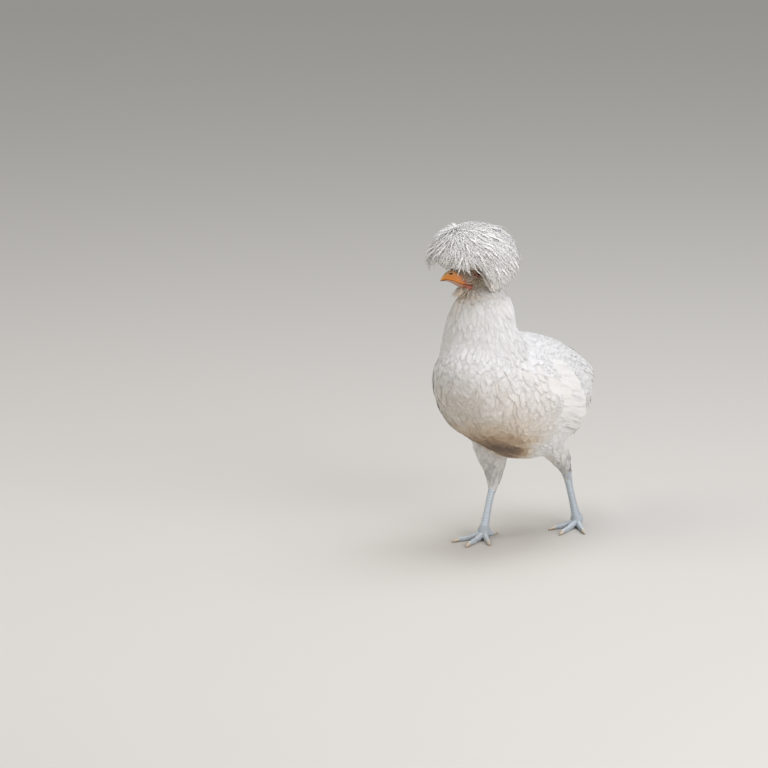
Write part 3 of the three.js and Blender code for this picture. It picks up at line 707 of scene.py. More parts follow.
# Earlobe skin is pale, dull and finely wrinkled.
lobe_skin = new_finish("white_lobe_skin")
lobe_place = add(lobe_skin, "TexCoord").outputs["Object"]
wrinkles = add(lobe_skin, "TexVoronoi", {"Vector": lobe_place, "Scale": 1 / LOBE_GRAIN})
lobe_bump = add(
    lobe_skin,
    "Bump",
    {"Height": wrinkles.outputs["Distance"], "Strength": 0.4, "Distance": 0.3 * MM},
)
lobe_shader = add(
    lobe_skin,
    "BsdfPrincipled",
    {"Base Color": linear("dcd5cb"), "Roughness": 0.55, "Normal": lobe_bump.outputs["Normal"]},
)
add(lobe_skin, "OutputMaterial", {"Surface": lobe_shader.outputs["BSDF"]})
lobe_form = bmesh.new()
for side in (1, -1):
    ball(lobe_form, lambda x, y, z: in_lobe(side, x, y, z), 28)
lobes = mesh_object("earlobes", closed(lobe_form))
lobes.data.materials.append(lobe_skin)
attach(lobes, "root")
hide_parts("earlobe_left", "earlobe_right")

# Shanks and feet
# Thin bony legs in a cool slate-blue skin of small scales. Broad horny scutes overlap down the front of each
# shank and the tops of the toes, and soft pads swell under the toes.

LEG_GRAIN = 0.65 * MM
TOE_JOINT_HEIGHT = 11
TOE_ROOT_HEIGHT = 7.5
CLAW_LENGTH = 12
SHANK_START = 0.47  # hidden in the feathers, as a share of the leg's line
BALL_OF_FOOT = (8.4, 8.8, 9.6)
BALL_DROP = 2  # of the ball of the foot below the joint of the toes
TOE_SCUTE_PITCH = 4
RIM_SUNK = 0.5  # of a scute in the skin round it
# side, knee, hock, joint of the toes (left, ahead, up) and the turn of the middle toe in degrees
LEGS = {
    "left": (1, (34, 16, 148), (34, -40, 80), (35, -69, TOE_JOINT_HEIGHT), 8),
    "right": (-1, (-34, 40, 148), (-37, 24, 75), (-37, 50, TOE_JOINT_HEIGHT), 4),
}
# degrees that a toe fans inwards, its length without the claw, and its radius
TOES = {"inner": (34, 34, 4.1), "middle": (2, 48, 4.4), "outer": (-32, 38, 4.0), "hind": (168, 19, 3.6)}
shank_radius = profile([[0.45, 7], [0.5, 6.4], [0.58, 5.2], [0.8, 4.5], [0.9, 5.1], [1, 6.4]])
FORWARD = Vector((0, -1, 0))
# Scutes down the front and back of a shank: how many, the first one's start, pitch and length as shares of
# the shank, half the turn that each covers and its rise.
SHANK_SCUTES = (
    (FORWARD, 14, 0.2, 0.052, 0.062, 1.15, 0.75),
    (-FORWARD, 18, 0.16, 0.042, 0.05, 0.8, 0.5),
)
PEBBLE_SIZE = 1.613 * MM
DUST_PATCH = 11.11 * MM
WEAR_PATCH = 6.67 * MM

# Slate-blue leg skin: small pebbled scales between the scutes, dull, darker grey in their creases and paler
# in dusty patches.
slate_skin = new_finish("slate_leg_skin")
scale_place = add(slate_skin, "TexCoord").outputs["Object"]
pebbles = add(
    slate_skin,
    "TexVoronoi",
    {"Vector": scale_place, "Scale": 1 / PEBBLE_SIZE},
    feature="DISTANCE_TO_EDGE",
)
edge_mask = add(slate_skin, "MapRange", {"Value": pebbles.outputs["Distance"], "From Max": 0.12})
leg_dust = add(slate_skin, "TexNoise", {"Vector": scale_place, "Scale": 1 / DUST_PATCH, "Detail": 4})
slate = add(
    slate_skin,
    "Mix",
    {0: leg_dust.outputs["Fac"], 6: linear("a4afb8"), 7: linear("ced4d8")},
    data_type="RGBA",
)
creased = add(
    slate_skin,
    "Mix",
    {0: edge_mask.outputs[0], 6: linear("9fa2a4"), 7: slate.outputs[2]},
    data_type="RGBA",
)
scale_bump = add(
    slate_skin,
    "Bump",
    {"Height": edge_mask.outputs[0], "Strength": 0.5, "Distance": 0.3 * MM},
)
slate_shader = add(
    slate_skin,
    "BsdfPrincipled",
    {"Base Color": creased.outputs[2], "Roughness": 0.55, "Normal": scale_bump.outputs["Normal"]},
)
add(slate_skin, "OutputMaterial", {"Surface": slate_shader.outputs["BSDF"]})

# Scutes: the same slate blue in smooth thick horn, worn pale along each lower edge.
scute_horn = new_finish("slate_scute_horn")
scute_mask = add(scute_horn, "Attribute", attribute_name="Edge")
scute_place = add(scute_horn, "TexCoord").outputs["Object"]
wear = add(scute_horn, "TexNoise", {"Vector": scute_place, "Scale": 1 / WEAR_PATCH, "Detail": 4})
scute_colour = add(
    scute_horn,
    "Mix",
    {0: wear.outputs["Fac"], 6: linear("a9b6c0"), 7: linear("ccd5da")},
    data_type="RGBA",
)
worn_edge = add(
    scute_horn,
    "Mix",
    {0: scute_mask.outputs["Fac"], 6: scute_colour.outputs[2], 7: linear("dcdfe0")},
    data_type="RGBA",
)
scute_bump = add(
    scute_horn,
    "Bump",
    {"Height": wear.outputs["Fac"], "Strength": 0.2, "Distance": 0.3 * MM},
)
scute_shader = add(
    scute_horn,
    "BsdfPrincipled",
    {"Base Color": worn_edge.outputs[2], "Roughness": 0.45, "Normal": scute_bump.outputs["Normal"]},
)
add(scute_horn, "OutputMaterial", {"Surface": scute_shader.outputs["BSDF"]})


def toe_line(side, joint, turn, toe):
    """A toe's line from inside the foot to the tip of its claw."""
    fan, length, _ = TOES[toe]
    angle = math.radians(turn - fan * side)
    way = Vector((math.sin(angle), -math.cos(angle), 0)) * (length + CLAW_LENGTH) * MM
    start = at(joint[0], joint[1], 0)
    heights = ((0, TOE_ROOT_HEIGHT), (0.3, 4.1), (0.55, 2.7), (0.8, 3), (1, 0.8))
    return curve([start + way * share + UP * up * MM for share, up in heights])


def scute(form, line, radius, front, start, end, half_turn, rise):
    """Adds one shield to a limb's front, from start to end along it, thickest at its rounded lower edge.

    Gives how low each of its points lies, from 0 to 1.
    """
    made = bmesh.ops.create_grid(form, x_segments=8, y_segments=6, size=1)
    lows = []
    for vert in made["verts"]:
        across, along = vert.co.x, vert.co.y
        low = 0.5 + 0.5 * along
        is_rim = abs(across) > 0.99 or abs(along) > 0.99
        lift = -RIM_SUNK if is_rim else rise * (0.35 + 0.65 * low) * (1 - 0.5 * across**2)
        share = start + (end - start) * (low * (1.12 - 0.22 * across**2))
        vert.co = limb_point(line, radius, front, across * half_turn, share, lift)
        lows.append(low)
    return lows


def on_floor(form):
    """Flattens what would reach below the floor."""
    for vert in form.verts:
        vert.co.z = max(vert.co.z, 0)
    return form


for side_name, (side, knee, hock, joint, turn) in LEGS.items():
    knee, hock, foot_joint = at(*knee), at(*hock), at(*joint)
    leg_line = curve([knee, (knee + hock) / 2, hock, (hock + foot_joint) / 2, foot_joint])
    shank_line = lambda share: leg_line(SHANK_START + (1 - SHANK_START) * share)
    round_shank = lambda share: float(shank_radius(SHANK_START + (1 - SHANK_START) * share))
    leg_form = bmesh.new()
    limb(leg_form, shank_line, round_shank, FORWARD, 28, 60)
    wide, long, high = BALL_OF_FOOT
    ball(leg_form, lambda x, y, z: foot_joint + Vector((wide * x, long * y, high * z - BALL_DROP)) * MM)
    scute_form = bmesh.new()
    lows = []
    for front, count, first, pitch, size, half_turn, rise in SHANK_SCUTES:
        for i in range(count):
            start = first + pitch * i
            lows += scute(scute_form, shank_line, round_shank, front, start, start + size, half_turn, rise)
    for toe, (_, length, thick) in TOES.items():
        whole = toe_line(side, joint, turn, toe)
        end = length / (length + CLAW_LENGTH)
        part = lambda share: whole(share * end)
        pads = lambda share: thick * (1 - 0.38 * share) * (1 + 0.08 * math.cos(share * 6 * math.pi))
        limb(leg_form, part, pads, UP, 20, 36)
        count = round(length / TOE_SCUTE_PITCH)
        for i in range(count):
            start = 0.14 + 0.82 * i / count
            lows += scute(scute_form, part, pads, UP, start, min(0.985, start + 0.95 / count), 1.0, 0.55)
    leg_form = on_floor(remeshed(closed(on_floor(leg_form)), LEG_GRAIN, rounds=3))
    leg = mesh_object(f"leg_skin_{side_name}", leg_form)
    leg.data.materials.append(slate_skin)
    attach(leg, "root")
    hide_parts(f"shank_{side_name}", f"foot_{side_name}")
    scutes = mesh_object(f"scutes_{side_name}", on_floor(scute_form))
    paint(scutes, "Edge", *[smooth(np.array(lows), 0.6, 0.95)] * 3)
    scutes.data.materials.append(scute_horn)
    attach(scutes, "root")

# Claws
# Four curved nails of pale horn on each foot, blunt from walking, with a darker core that shows towards the
# tip.

CLAW_SUNK = 0.03  # share of a toe's whole length that its claw reaches back into it
GROWTH_BAND = 2 * MM

# Claw horn is semi-gloss and faintly banded by its growth.
claw_horn = new_finish("pale_claw_horn")
claw_place = add(claw_horn, "TexCoord").outputs["Object"]
growth = add(claw_horn, "TexNoise", {"Vector": claw_place, "Scale": 1 / GROWTH_BAND, "Detail": 3})
claw_mask = add(claw_horn, "Attribute", attribute_name="Tip")
claw_colour = add(
    claw_horn,
    "Mix",
    {0: claw_mask.outputs["Fac"], 6: linear("cfc3b0"), 7: linear("9c8467")},
    data_type="RGBA",
)
claw_bump = add(
    claw_horn,
    "Bump",
    {"Height": growth.outputs["Fac"], "Strength": 0.3, "Distance": 0.2 * MM},
)
claw_shader = add(
    claw_horn,
    "BsdfPrincipled",
    {"Base Color": claw_colour.outputs[2], "Roughness": 0.38, "Normal": claw_bump.outputs["Normal"]},
)
add(claw_horn, "OutputMaterial", {"Surface": claw_shader.outputs["BSDF"]})

for side_name, (side, _, _, joint, turn) in LEGS.items():
    claw_form = bmesh.new()
    for toe, (_, length, thick) in TOES.items():
        whole = toe_line(side, joint, turn, toe)
        end = length / (length + CLAW_LENGTH) - CLAW_SUNK
        part = lambda share: whole(end + (1 - end) * share)
        limb(claw_form, part, lambda share: thick * 0.56 * (1 - share) ** 0.8 + 0.45, UP, 18, 26)
    claws = mesh_object(f"claws_{side_name}", closed(on_floor(claw_form)))
    paint(claws, "Tip", *[smooth(places(claws)[:, 2], 3.2 * MM, 0.6 * MM)] * 3)
    claws.data.materials.append(claw_horn)
    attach(claws, "root")
    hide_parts(*[f"claw_{side_name}_{toe}" for toe in TOES])

# Body plumage
# Each contour feather is a soft flat vane on a middle shaft, its edge frayed into barbs. They grow from the
# skin in rows that lie back over one another like tiles, from the throat down to the hocks and back to the
# rump.


def outline(points, fine=160):
    """A smooth half outline of a feather through a few [width, length] points, in even steps along it."""
    points = np.array(points, float)
    padded = np.vstack([2 * points[0] - points[1], points, 2 * points[-1] - points[-2]])
    share = np.linspace(0, 1, fine // (len(points) - 1), endpoint=False)[:, None]
    rim = []
    for a, b, c, d in zip(padded, padded[1:], padded[2:], padded[3:]):
        straight = 2 * b + (c - a) * share
        bend = (2 * a - 5 * b + 4 * c - d) * share**2
        rim.append(0.5 * (straight + bend + (3 * b - a - 3 * c + d) * share**3))
    rim = np.vstack([*rim, points[-1:]])
    steps = np.concatenate([[0], np.cumsum(np.linalg.norm(np.diff(rim, axis=0), axis=1))])
    return lambda s: np.array([np.interp(s * steps[-1], steps, rim[:, k]) for k in (0, 1)])


BARB_CROWDING = 0.6  # below 1 the barbs are finer towards the tip, the part that shows
BARB_SLANT = math.radians(38)
FIRST_BARB = 0.12  # share of the rim below the first barb
DEEP_SLIT = 1.4  # how many times its depth a deep slit is deeper


class Vane:
    """Some variants of one flat feather, as points (across, along, rise) and shared triangles.

    The rim has barbs that point outwards and to the tip. fray is how deep the slits between them are, in half
    widths, slender is the length in half widths, and split is how often a slit runs deeper.
    """

    def __init__(self, shape, barbs, fray, slender, split, chance, variants=8):
        rim = outline([[w, length * slender] for w, length in shape])
        self.shapes = np.array(
            [self.variant(rim, barbs, fray, slender, split, chance) for _ in range(variants)]
        )
        self.faces = np.array(self.triangles(barbs))

    def variant(self, rim, barbs, fray, slender, split, chance):
        """The points of one vane: its upper and lower faces, its shaft and the tips of its barbs."""
        tops, tips = [], []
        sway = np.array([math.sin(BARB_SLANT), math.cos(BARB_SLANT)])
        for side in (1, -1):
            lowest = 0
            for i in range(barbs + 1):
                s = FIRST_BARB + (1 - FIRST_BARB) * (i / barbs) ** BARB_CROWDING
                width, along = rim(s)
                depth = fray * min(1, 0.35 + i / barbs) * (1 + (DEEP_SLIT if chance.random() < split else 0))
                depth = min(depth, 0.8 * width + 0.02)
                lowest = max(lowest, along - sway[1] * depth)
                tops.append([side * max(0, width - sway[0] * depth), lowest])
                if i < barbs:
                    next_s = FIRST_BARB + (1 - FIRST_BARB) * ((i + 1) / barbs) ** BARB_CROWDING
                    out = rim(s + (next_s - s) * chance.uniform(0.4, 0.85))
                    point = out + sway * max(fray * chance.uniform(-0.25, 0.45), -0.4 * depth)
                    tips.append([side * point[0], point[1]])
        points = [[across, along, 0.3] for across, along in tops]
        points += [[across, along, -0.3] for across, along in tops]
        for i in range(barbs + 1):
            points.append([0, min(tops[i][1], tops[barbs + 1 + i][1]), 1])
        for across, along in tips:
            points.append([across, along, 0])
        points = np.array(points)
        points[:, 1] = np.clip(points[:, 1] / slender, 0, 1.15)
        return points

    def triangles(self, barbs):
        """The faces that all variants share."""
        count = barbs + 1
        faces = []
        for side in (0, 1):
            top, back, shaft = side * count, (2 + side) * count, 4 * count
            tip = 5 * count + side * barbs
            turn = (lambda a, b, c: (a, b, c)) if side == 0 else (lambda a, b, c: (a, c, b))
            for i in range(barbs):
                faces.append(turn(shaft + i, top + i, top + i + 1))
                faces.append(turn(shaft + i, top + i + 1, shaft + i + 1))
                faces.append(turn(top + i, tip + i, top + i + 1))
                faces.append(turn(back + i, back + i + 1, tip + i))
                faces.append(turn(top + i, back + i, tip + i))
                faces.append(turn(top + i + 1, tip + i, back + i + 1))
        left, right = 2 * count, 3 * count
        for i in range(barbs):
            faces.append((left + i, right + i, left + i + 1))
            faces.append((right + i, right + i + 1, left + i + 1))
        shaft = 4 * count
        faces.append((0, shaft, left))
        faces.append((shaft, right, left))
        faces.append((shaft, count, right))
        end = barbs
        faces.append((end, left + end, shaft + end))
        faces.append((shaft + end, left + end, right + end))
        faces.append((shaft + end, right + end, count + end))
        return faces


CONTOUR_SHAPE = [[0.1, 0], [0.36, 0.12], [0.78, 0.34], [1, 0.56], [0.88, 0.78], [0.5, 0.94], [0, 1]]
chance = np.random.default_rng(4)
contour = Vane(CONTOUR_SHAPE, 17, 0.24, 3.2, 0.12, chance)
fluff = Vane(CONTOUR_SHAPE, 14, 0.38, 3.4, 0.2, chance)
HACKLE_SHAPE = [[0.2, 0], [0.6, 0.15], [0.9, 0.4], [1, 0.62], [0.8, 0.84], [0.42, 0.96], [0, 1]]
hackle = Vane(HACKLE_SHAPE, 12, 0.36, 6.4, 0.2, chance)

STATIONS = 6
BAKE_PATCH = 0.003  # of the unwrap, for each feather
BARB_MAP = 10  # units of the Barbs map for each metre
BREAST_AXIS = (85, 195)  # ahead and up: the line that the feathers of the breast lie round


def turn_share(across, high):
    """The turn round an axis, from 0 to 1."""
    return np.arctan2(across, high) / (2 * np.pi) + 0.5


def unwrapped(points):
    """Where points of the skin lie on its unwrap, a square from 0 to 1.

    The trunk takes the left of it, the neck with the head the upper right and the thighs the lower right.
    """
    points = points / MM
    turn = turn_share(points[:, 0], points[:, 2] - BREAST_AXIS[1])
    along = (points[:, 1] + 190) / 380
    trunk = np.stack([0.02 + 0.58 * turn, 0.02 + 0.96 * along], 1)
    neck_turn = turn_share(points[:, 0] + 10, points[:, 1] + 110)
    neck_height = np.clip((points[:, 2] - 280) / 150, 0, 1)
    neck = np.stack([0.64 + 0.34 * neck_turn, 0.4 + 0.58 * neck_height], 1)
    leg_turn = turn_share(points[:, 1], np.abs(points[:, 0]) - 36)
    leg_column = 0.64 + 0.16 * leg_turn + 0.18 * (points[:, 0] > 0)
    leg = np.stack([leg_column, 0.02 + 0.3 * points[:, 2] / 130], 1)
    is_neck = (points[:, 2] > 285) & (points[:, 1] < -40)
    is_leg = points[:, 2] < 115
    return np.where(is_neck[:, None], neck, np.where(is_leg[:, None], leg, trunk))


def add_map(mesh, name, spots, corners):
    """Stores a UV map that gives every corner of the faces the spot of its vertex."""
    layer = mesh.uv_layers.new(name=name)
    layer.data.foreach_set("uv", spots.reshape(-1, 2)[corners].astype(np.float32).ravel())


def dressed(name, vane, lines, facing, half_width, tint, chance, thick=0.2, cup=0.035, spots=None):
    """One joined mesh of feathers.

    lines holds each feather's middle line at a few stations, facing its outward direction there, half_width
    its size in metres and tint its stain, which low on the body is dust and painted shade. The vane is bent
    to the line and cupped across it. The Tint masks are that stain and shade, how chalky the feather is, and
    how far along it a point lies.
    """
    count, stations = lines.shape[:2]
    shape = vane.shapes[chance.integers(len(vane.shapes), size=count)]
    ways = np.gradient(lines, axis=1)
    ways /= np.linalg.norm(ways, axis=2, keepdims=True) + 1e-12
    facing = facing - ways * (facing * ways).sum(2, keepdims=True)
    facing /= np.linalg.norm(facing, axis=2, keepdims=True) + 1e-12
    across = np.cross(ways, facing)
    t = shape[:, :, 1] * (stations - 1)
    low = np.clip(t.astype(int), 0, stations - 2)
    share = (t - low)[:, :, None]
    rows = np.arange(count)[:, None]

    def between(values):
        return values[rows, low] * (1 - share) + values[rows, low + 1] * share

    width = half_width[:, None]
    side = shape[:, :, 0] * width
    rise = shape[:, :, 2] * thick * MM - cup * width * shape[:, :, 0] ** 2
    points = between(lines) + between(across) * side[:, :, None] + between(facing) * rise[:, :, None]
    span = np.linalg.norm(np.diff(lines, axis=1), axis=2).sum(1)[:, None]
    per = shape.shape[1]
    faces = (vane.faces[None] + (np.arange(count) * per)[:, None, None]).reshape(-1)
    mesh = bpy.data.meshes.new(name)
    mesh.vertices.add(count * per)
    mesh.vertices.foreach_set("co", points.astype(np.float32).ravel())
    mesh.loops.add(len(faces))
    mesh.loops.foreach_set("vertex_index", faces.astype(np.int32))
    mesh.polygons.add(len(faces) // 3)
    mesh.polygons.foreach_set("loop_start", np.arange(0, len(faces), 3, dtype=np.int32))
    mesh.update(calc_edges=True)
    add_map(mesh, "Barbs", np.stack([side * BARB_MAP, shape[:, :, 1] * span * BARB_MAP], 2), faces)
    spots = unwrapped(lines[:, 0]) if spots is None else spots
    add_map(mesh, "OFBake", spots[:, None] + (shape[:, :, :2] * [0.5, 1] - [0, 0.5]) * BAKE_PATCH, faces)
    mesh.shade_smooth()
    outward = between(facing) * np.where(shape[:, :, 2] < 0, -1.0, 1.0)[:, :, None]
    mesh.normals_split_custom_set_from_vertices(outward.reshape(-1, 3).tolist())
    mesh.materials.append(white_feather)
    piece = bpy.data.objects.new(name, mesh)
    bpy.context.scene.collection.objects.link(piece)
    chalk = chance.random(count)
    paint(piece, "Tint", np.repeat(tint, per), np.repeat(chalk, per), shape[:, :, 1].ravel())
    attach(piece, "root")
    return piece


# White feather keratin: matt, a little translucent, with fine slanting barbs. The barbs are drawn 1.3 mm
# apart, coarser than real ones, so that they show. Dust and oil stain the feathers round the eye, and the
# hidden roots are creamier. Low on the breast and between the legs the same stain colours paint dust and
# the shade of the underside.
BARB_PITCH = 1.3 * MM
BARB_LEAN = -1.2  # how far a barb climbs along the shaft for each step out from it
white_feather = new_finish("white_feather")
tint = add(white_feather, "Attribute", attribute_name="Tint")
channels = add(white_feather, "SeparateColor", {"Color": tint.outputs["Color"]})
barb_map = add(white_feather, "UVMap", uv_map="Barbs")
barb_axes = add(white_feather, "SeparateXYZ", {"Vector": barb_map.outputs["UV"]})
out_from_shaft = add(white_feather, "Math", {0: barb_axes.outputs["X"]}, operation="ABSOLUTE")
slant = add(
    white_feather,
    "Math",
    {0: out_from_shaft.outputs[0], 1: BARB_LEAN, 2: barb_axes.outputs["Y"]},
    operation="MULTIPLY_ADD",
)
turns = add(
    white_feather,
    "Math",
    {0: slant.outputs[0], 1: 2 * math.pi / (BARB_PITCH * BARB_MAP)},
    operation="MULTIPLY",
)
ribs = add(white_feather, "Math", {0: turns.outputs[0]}, operation="SINE")
feather_bump = add(
    white_feather,
    "Bump",
    {"Height": ribs.outputs[0], "Strength": 0.25, "Distance": 0.12 * MM},
)
ageing = add(
    white_feather,
    "Mix",
    {0: channels.outputs["Green"], 6: linear("e9e6e0"), 7: linear("f3f1ee")},
    data_type="RGBA",
)
root_fade = add(
    white_feather,
    "MapRange",
    {"Value": channels.outputs["Blue"], "From Min": 0.05, "From Max": 0.5, "To Min": 1.0, "To Max": 0.0},
)
rooted = add(
    white_feather,
    "Mix",
    {0: root_fade.outputs[0], 6: ageing.outputs[2], 7: linear("e6e0d6")},
    data_type="RGBA",
)
# This ramp colours the stains, and low on the body the dust with painted shade of the underside.
stain_and_shade_ramp = add(white_feather, "ValToRGB", {"Fac": channels.outputs["Red"]})
stain_and_shade_ramp.color_ramp.elements[0].color = linear("ffffff")
stain_and_shade_ramp.color_ramp.elements[1].color = linear("75604d")
for position, code in ((0.35, "ead7bf"), (0.7, "bb9c7e")):
    stain_and_shade_ramp.color_ramp.elements.new(position).color = linear(code)
stained_and_shaded = add(
    white_feather,
    "Mix",
    {0: 1.0, 6: rooted.outputs[2], 7: stain_and_shade_ramp.outputs["Color"]},
    data_type="RGBA",
    blend_type="MULTIPLY",
)
feather_shader = add(
    white_feather,
    "BsdfPrincipled",
    {
        "Base Color": stained_and_shaded.outputs[2],
        "Roughness": 0.72,
        "Specular IOR Level": 0.25,
        "Sheen Weight": 0.12,
        "Sheen Roughness": 0.5,
        "Subsurface Weight": 0.3,
        "Subsurface Scale": 2.5 * MM,
        "Subsurface Radius": (1, 0.95, 0.9),
        "Normal": feather_bump.outputs["Normal"],
    },
)
add(white_feather, "OutputMaterial", {"Surface": feather_shader.outputs["BSDF"]})

# The way that the feathers lie on each part: to the left, back and up.
BACK_WAY = np.array([0, 0.85, -0.5])
NECK_WAY = np.array([0, 0.22, -1])
LEG_WAY = np.array([0, 0.12, -1])
TAIL_WAY = np.array([-0.28, 0.92, -0.26])
VENT_WAY = np.array([0, 0.65, -0.75])
bill_root = np.array(in_head(0, 26, -2))
eye_spots = np.array([middle("eye_left"), middle("eye_right")])


def drawn_to(ways, others, share):
    """Directions drawn over to others, by a share from 0 to 1 for each."""
    share = share.reshape(-1, 1)
    return ways * (1 - share) + others * share


def lie_of_coat(points, out):
    """The way the feathers lie: back and down the body, down the neck and legs, and off the bill."""
    ahead, high = -points[:, 1] / MM, points[:, 2] / MM
    way = np.tile(BACK_WAY, (len(points), 1))
    over_breast = np.stack([0.15 * out[:, 0], -(high - BREAST_AXIS[1]), -(ahead - BREAST_AXIS[0])], 1)
    over_breast[:, 1:] /= np.linalg.norm(over_breast[:, 1:], axis=1, keepdims=True)
    way = drawn_to(way, over_breast, smooth(-out[:, 1], -0.3, 0.8) * smooth(ahead, 45, 110))
    way = drawn_to(way, NECK_WAY, smooth(high, 262, 300))
    way = drawn_to(way, LEG_WAY, smooth(high, 128, 108))
    way = drawn_to(way, TAIL_WAY, smooth(ahead, -60, -110) * smooth(high, 175, 205))
    way = drawn_to(way, VENT_WAY, smooth(ahead, -70, -120) * smooth(high, 190, 150))
    from_bill = points - bill_root
    reach = np.linalg.norm(from_bill, axis=1, keepdims=True)
    off_bill = from_bill / reach + np.array([0, 0.2, -0.25])
    return drawn_to(way, off_bill, smooth(reach, 0.062, 0.045))


def in_millimetres(points):
    """Distances left, ahead and up of points, as at() takes them."""
    return points[:, 0] / MM, (ZERO_Y - points[:, 1]) / MM, points[:, 2] / MM


def outer_leg(points):
    """1 on the drumsticks except where they face each other, 0 on the belly."""
    nearest = np.full(len(points), 1.0)
    for side, knee, hock, _, _ in LEGS.values():
        top, way = np.array(at(*knee)), np.array(at(*hock)) - np.array(at(*knee))
        share = np.clip((points - top) @ way / (way @ way), 0.12, 1)
        off = points - top - share[:, None] * way
        inwards = np.clip(-off[:, 0] * side, 0, None)
        nearest = np.minimum(nearest, np.linalg.norm(off, axis=1) + inwards * 0.6)
    return smooth(nearest, 0.07, 0.026)


def dust_and_shade(points):
    """Dust and painted shade on each feather of the body: low on the breast, and most between the legs."""
    left, ahead, up = in_millimetres(points)
    inner = 1 - 0.65 * smooth(np.abs(left), 24, 58)
    breast = (0.1 * smooth(up, 250, 200) + 0.28 * smooth(up, 205, 150) * inner) * smooth(ahead, 20, 110)
    belly = 0.68 * smooth(up, 162, 124) * smooth(ahead, -80, 0) * (1 - outer_leg(points)) * inner
    low = breast * (1 - outer_leg(points)) + belly
    return np.clip(low + 0.06 * patchy(points, 0.04, seed=8) * smooth(up, 230, 170), 0, 1)


def face_stain(points):
    """How stained each feather is, most behind and under the eye and along the crest's lower edge."""
    near_eye = smooth(distance(points, *eye_spots), 0.03, 0.006)
    return 0.4 * near_eye + 0.4 * smooth(distance(points, bill_root), 0.034, 0.01)


def rows_of(items, name, kind):
    """One value of each item of a mesh, three numbers long, as the rows of an array."""
    values = np.empty(len(items) * 3, kind)
    items.foreach_get(name, values)
    return values.reshape(-1, 3)


def scattered(surface, gap_at, keep_at, chance, tries):
    """Roots all over the skin, no two nearer than the gap there: their places and outward directions."""
    mesh = surface.data
    mesh.calc_loop_triangles()
    corners = rows_of(mesh.loop_triangles, "vertices", np.int32)
    co = rows_of(mesh.vertices, "co", np.float32).astype(float)
    normals = rows_of(mesh.vertex_normals, "vector", np.float32).astype(float)
    a, b, c = co[corners[:, 0]], co[corners[:, 1]], co[corners[:, 2]]
    area = np.linalg.norm(np.cross(b - a, c - a), axis=1)
    pick = chance.choice(len(area), size=tries, p=area / area.sum())
    u, v = chance.random(tries), chance.random(tries)
    flip = u + v > 1
    u[flip], v[flip] = 1 - u[flip], 1 - v[flip]
    weights = np.stack([1 - u - v, u, v], 1)[:, :, None]
    spots = (co[corners[pick]] * weights).sum(1)
    out = (normals[corners[pick]] * weights).sum(1)
    out /= np.linalg.norm(out, axis=1, keepdims=True)
    keep = keep_at(spots, out)
    spots, out = spots[keep], out[keep]
    gaps = gap_at(spots)
    cell = gaps.max()
    grid = {}
    kept = []
    for i, (spot, gap) in enumerate(zip(spots, gaps)):
        home = tuple((spot // cell).astype(int))
        near = []
        for step in product((-1, 0, 1), repeat=3):
            near += grid.get((home[0] + step[0], home[1] + step[1], home[2] + step[2]), [])
        if all(((spots[j] - spot) ** 2).sum() >= gap * gap for j in near):
            grid.setdefault(home, []).append(i)
            kept.append(i)
    return spots[kept], out[kept]


ROOT_SUNK = 0.3 * MM  # how deep a root stands in the skin


def laid(spots, out, ways, lengths, heights, start=0.72, stations=STATIONS):
    """Feather lines that run over the skin from their roots and rise from it to their tips.

    start is how high they lie just after the root, as a share of the height at the tip.
    """
    lines = np.zeros((len(spots), stations, 3))
    facing = np.zeros_like(lines)
    for i in range(len(spots)):
        point, normal, way = Vector(spots[i]), Vector(out[i]), Vector(ways[i])
        step = lengths[i] / (stations - 1)
        for k in range(stations):
            share = k / (stations - 1)
            height = heights[i] * (start + (1 - start) * share) if k else -ROOT_SUNK
            lines[i, k] = point + normal * height
            facing[i, k] = normal
            way = (way - normal * way.dot(normal)).normalized()
            ahead = point + way * step
            near, near_out, _, _ = skin_tree.find_nearest(ahead)
            if (near - point).length < 0.6 * step:
                near, near_out = ahead, normal
            normal = (normal + near_out * 1.5).normalized()
            way = near - point
            point = near
    return lines, facing


def turned(ways, out, angles):
    """Directions turned about the outward ones by some angles."""
    ways = ways - out * (ways * out).sum(1, keepdims=True)
    ways /= np.linalg.norm(ways, axis=1, keepdims=True) + 1e-9
    return ways * np.cos(angles)[:, None] + np.cross(out, ways) * np.sin(angles)[:, None]


# Ovals on the flanks: middle ahead and up, half length and half height.
HIDDEN_FLANK = (28, 208, 44, 28)
WING_BOW = (80, 216, 46, 46)
TAIL_BASE = (-3, -118, 198)  # where the tail leaves the rump
NECK_START = 285  # height from which the hackles take over
TRUNK_FOOT = 118
TRUNK_LENGTH = 37
TRUNK_HALF_WIDTH = 9.5
TRUNK_GAP = 6.0
NECK_LENGTH = 34
NECK_HALF_WIDTH = 4.9
NECK_GAP = 3.2
SHOULDER_GAP = NECK_GAP + 0.6


def in_oval(spots, oval):
    """Where points lie in an oval on the flanks: 0 at its middle and 1 on its rim."""
    mid_ahead, mid_up, half_length, half_height = oval
    _, ahead, up = in_millimetres(spots)
    return ((ahead - mid_ahead) / half_length) ** 2 + ((up - mid_up) / half_height) ** 2


def under_wing(spots, out):
    """True where the folded wing's long feathers hide the flank."""
    return (np.abs(out[:, 0]) > 0.35) & (in_oval(spots, HIDDEN_FLANK) < 0.36)


def on_wing_bow(spots, out, size=1.15):
    """True on the swelling of the wing's arm."""
    return (np.abs(out[:, 0]) > 0.3) & (in_oval(spots, WING_BOW) < size)


def on_trunk(spots, out):
    """True where the broad feathers of the trunk grow."""
    _, _, up = in_millimetres(spots)
    high = (up < NECK_START) & (up > TRUNK_FOOT)
    off_tail = distance(spots, at(*TAIL_BASE)) > 0.016
    return high & ~under_wing(spots, out) & ~on_wing_bow(spots, out) & off_tail


def neck_share(points):
    """0 on the trunk, 1 on the neck."""
    _, ahead, up = in_millimetres(points)
    return smooth(up, 250, 292) * smooth(ahead, 20, 70)


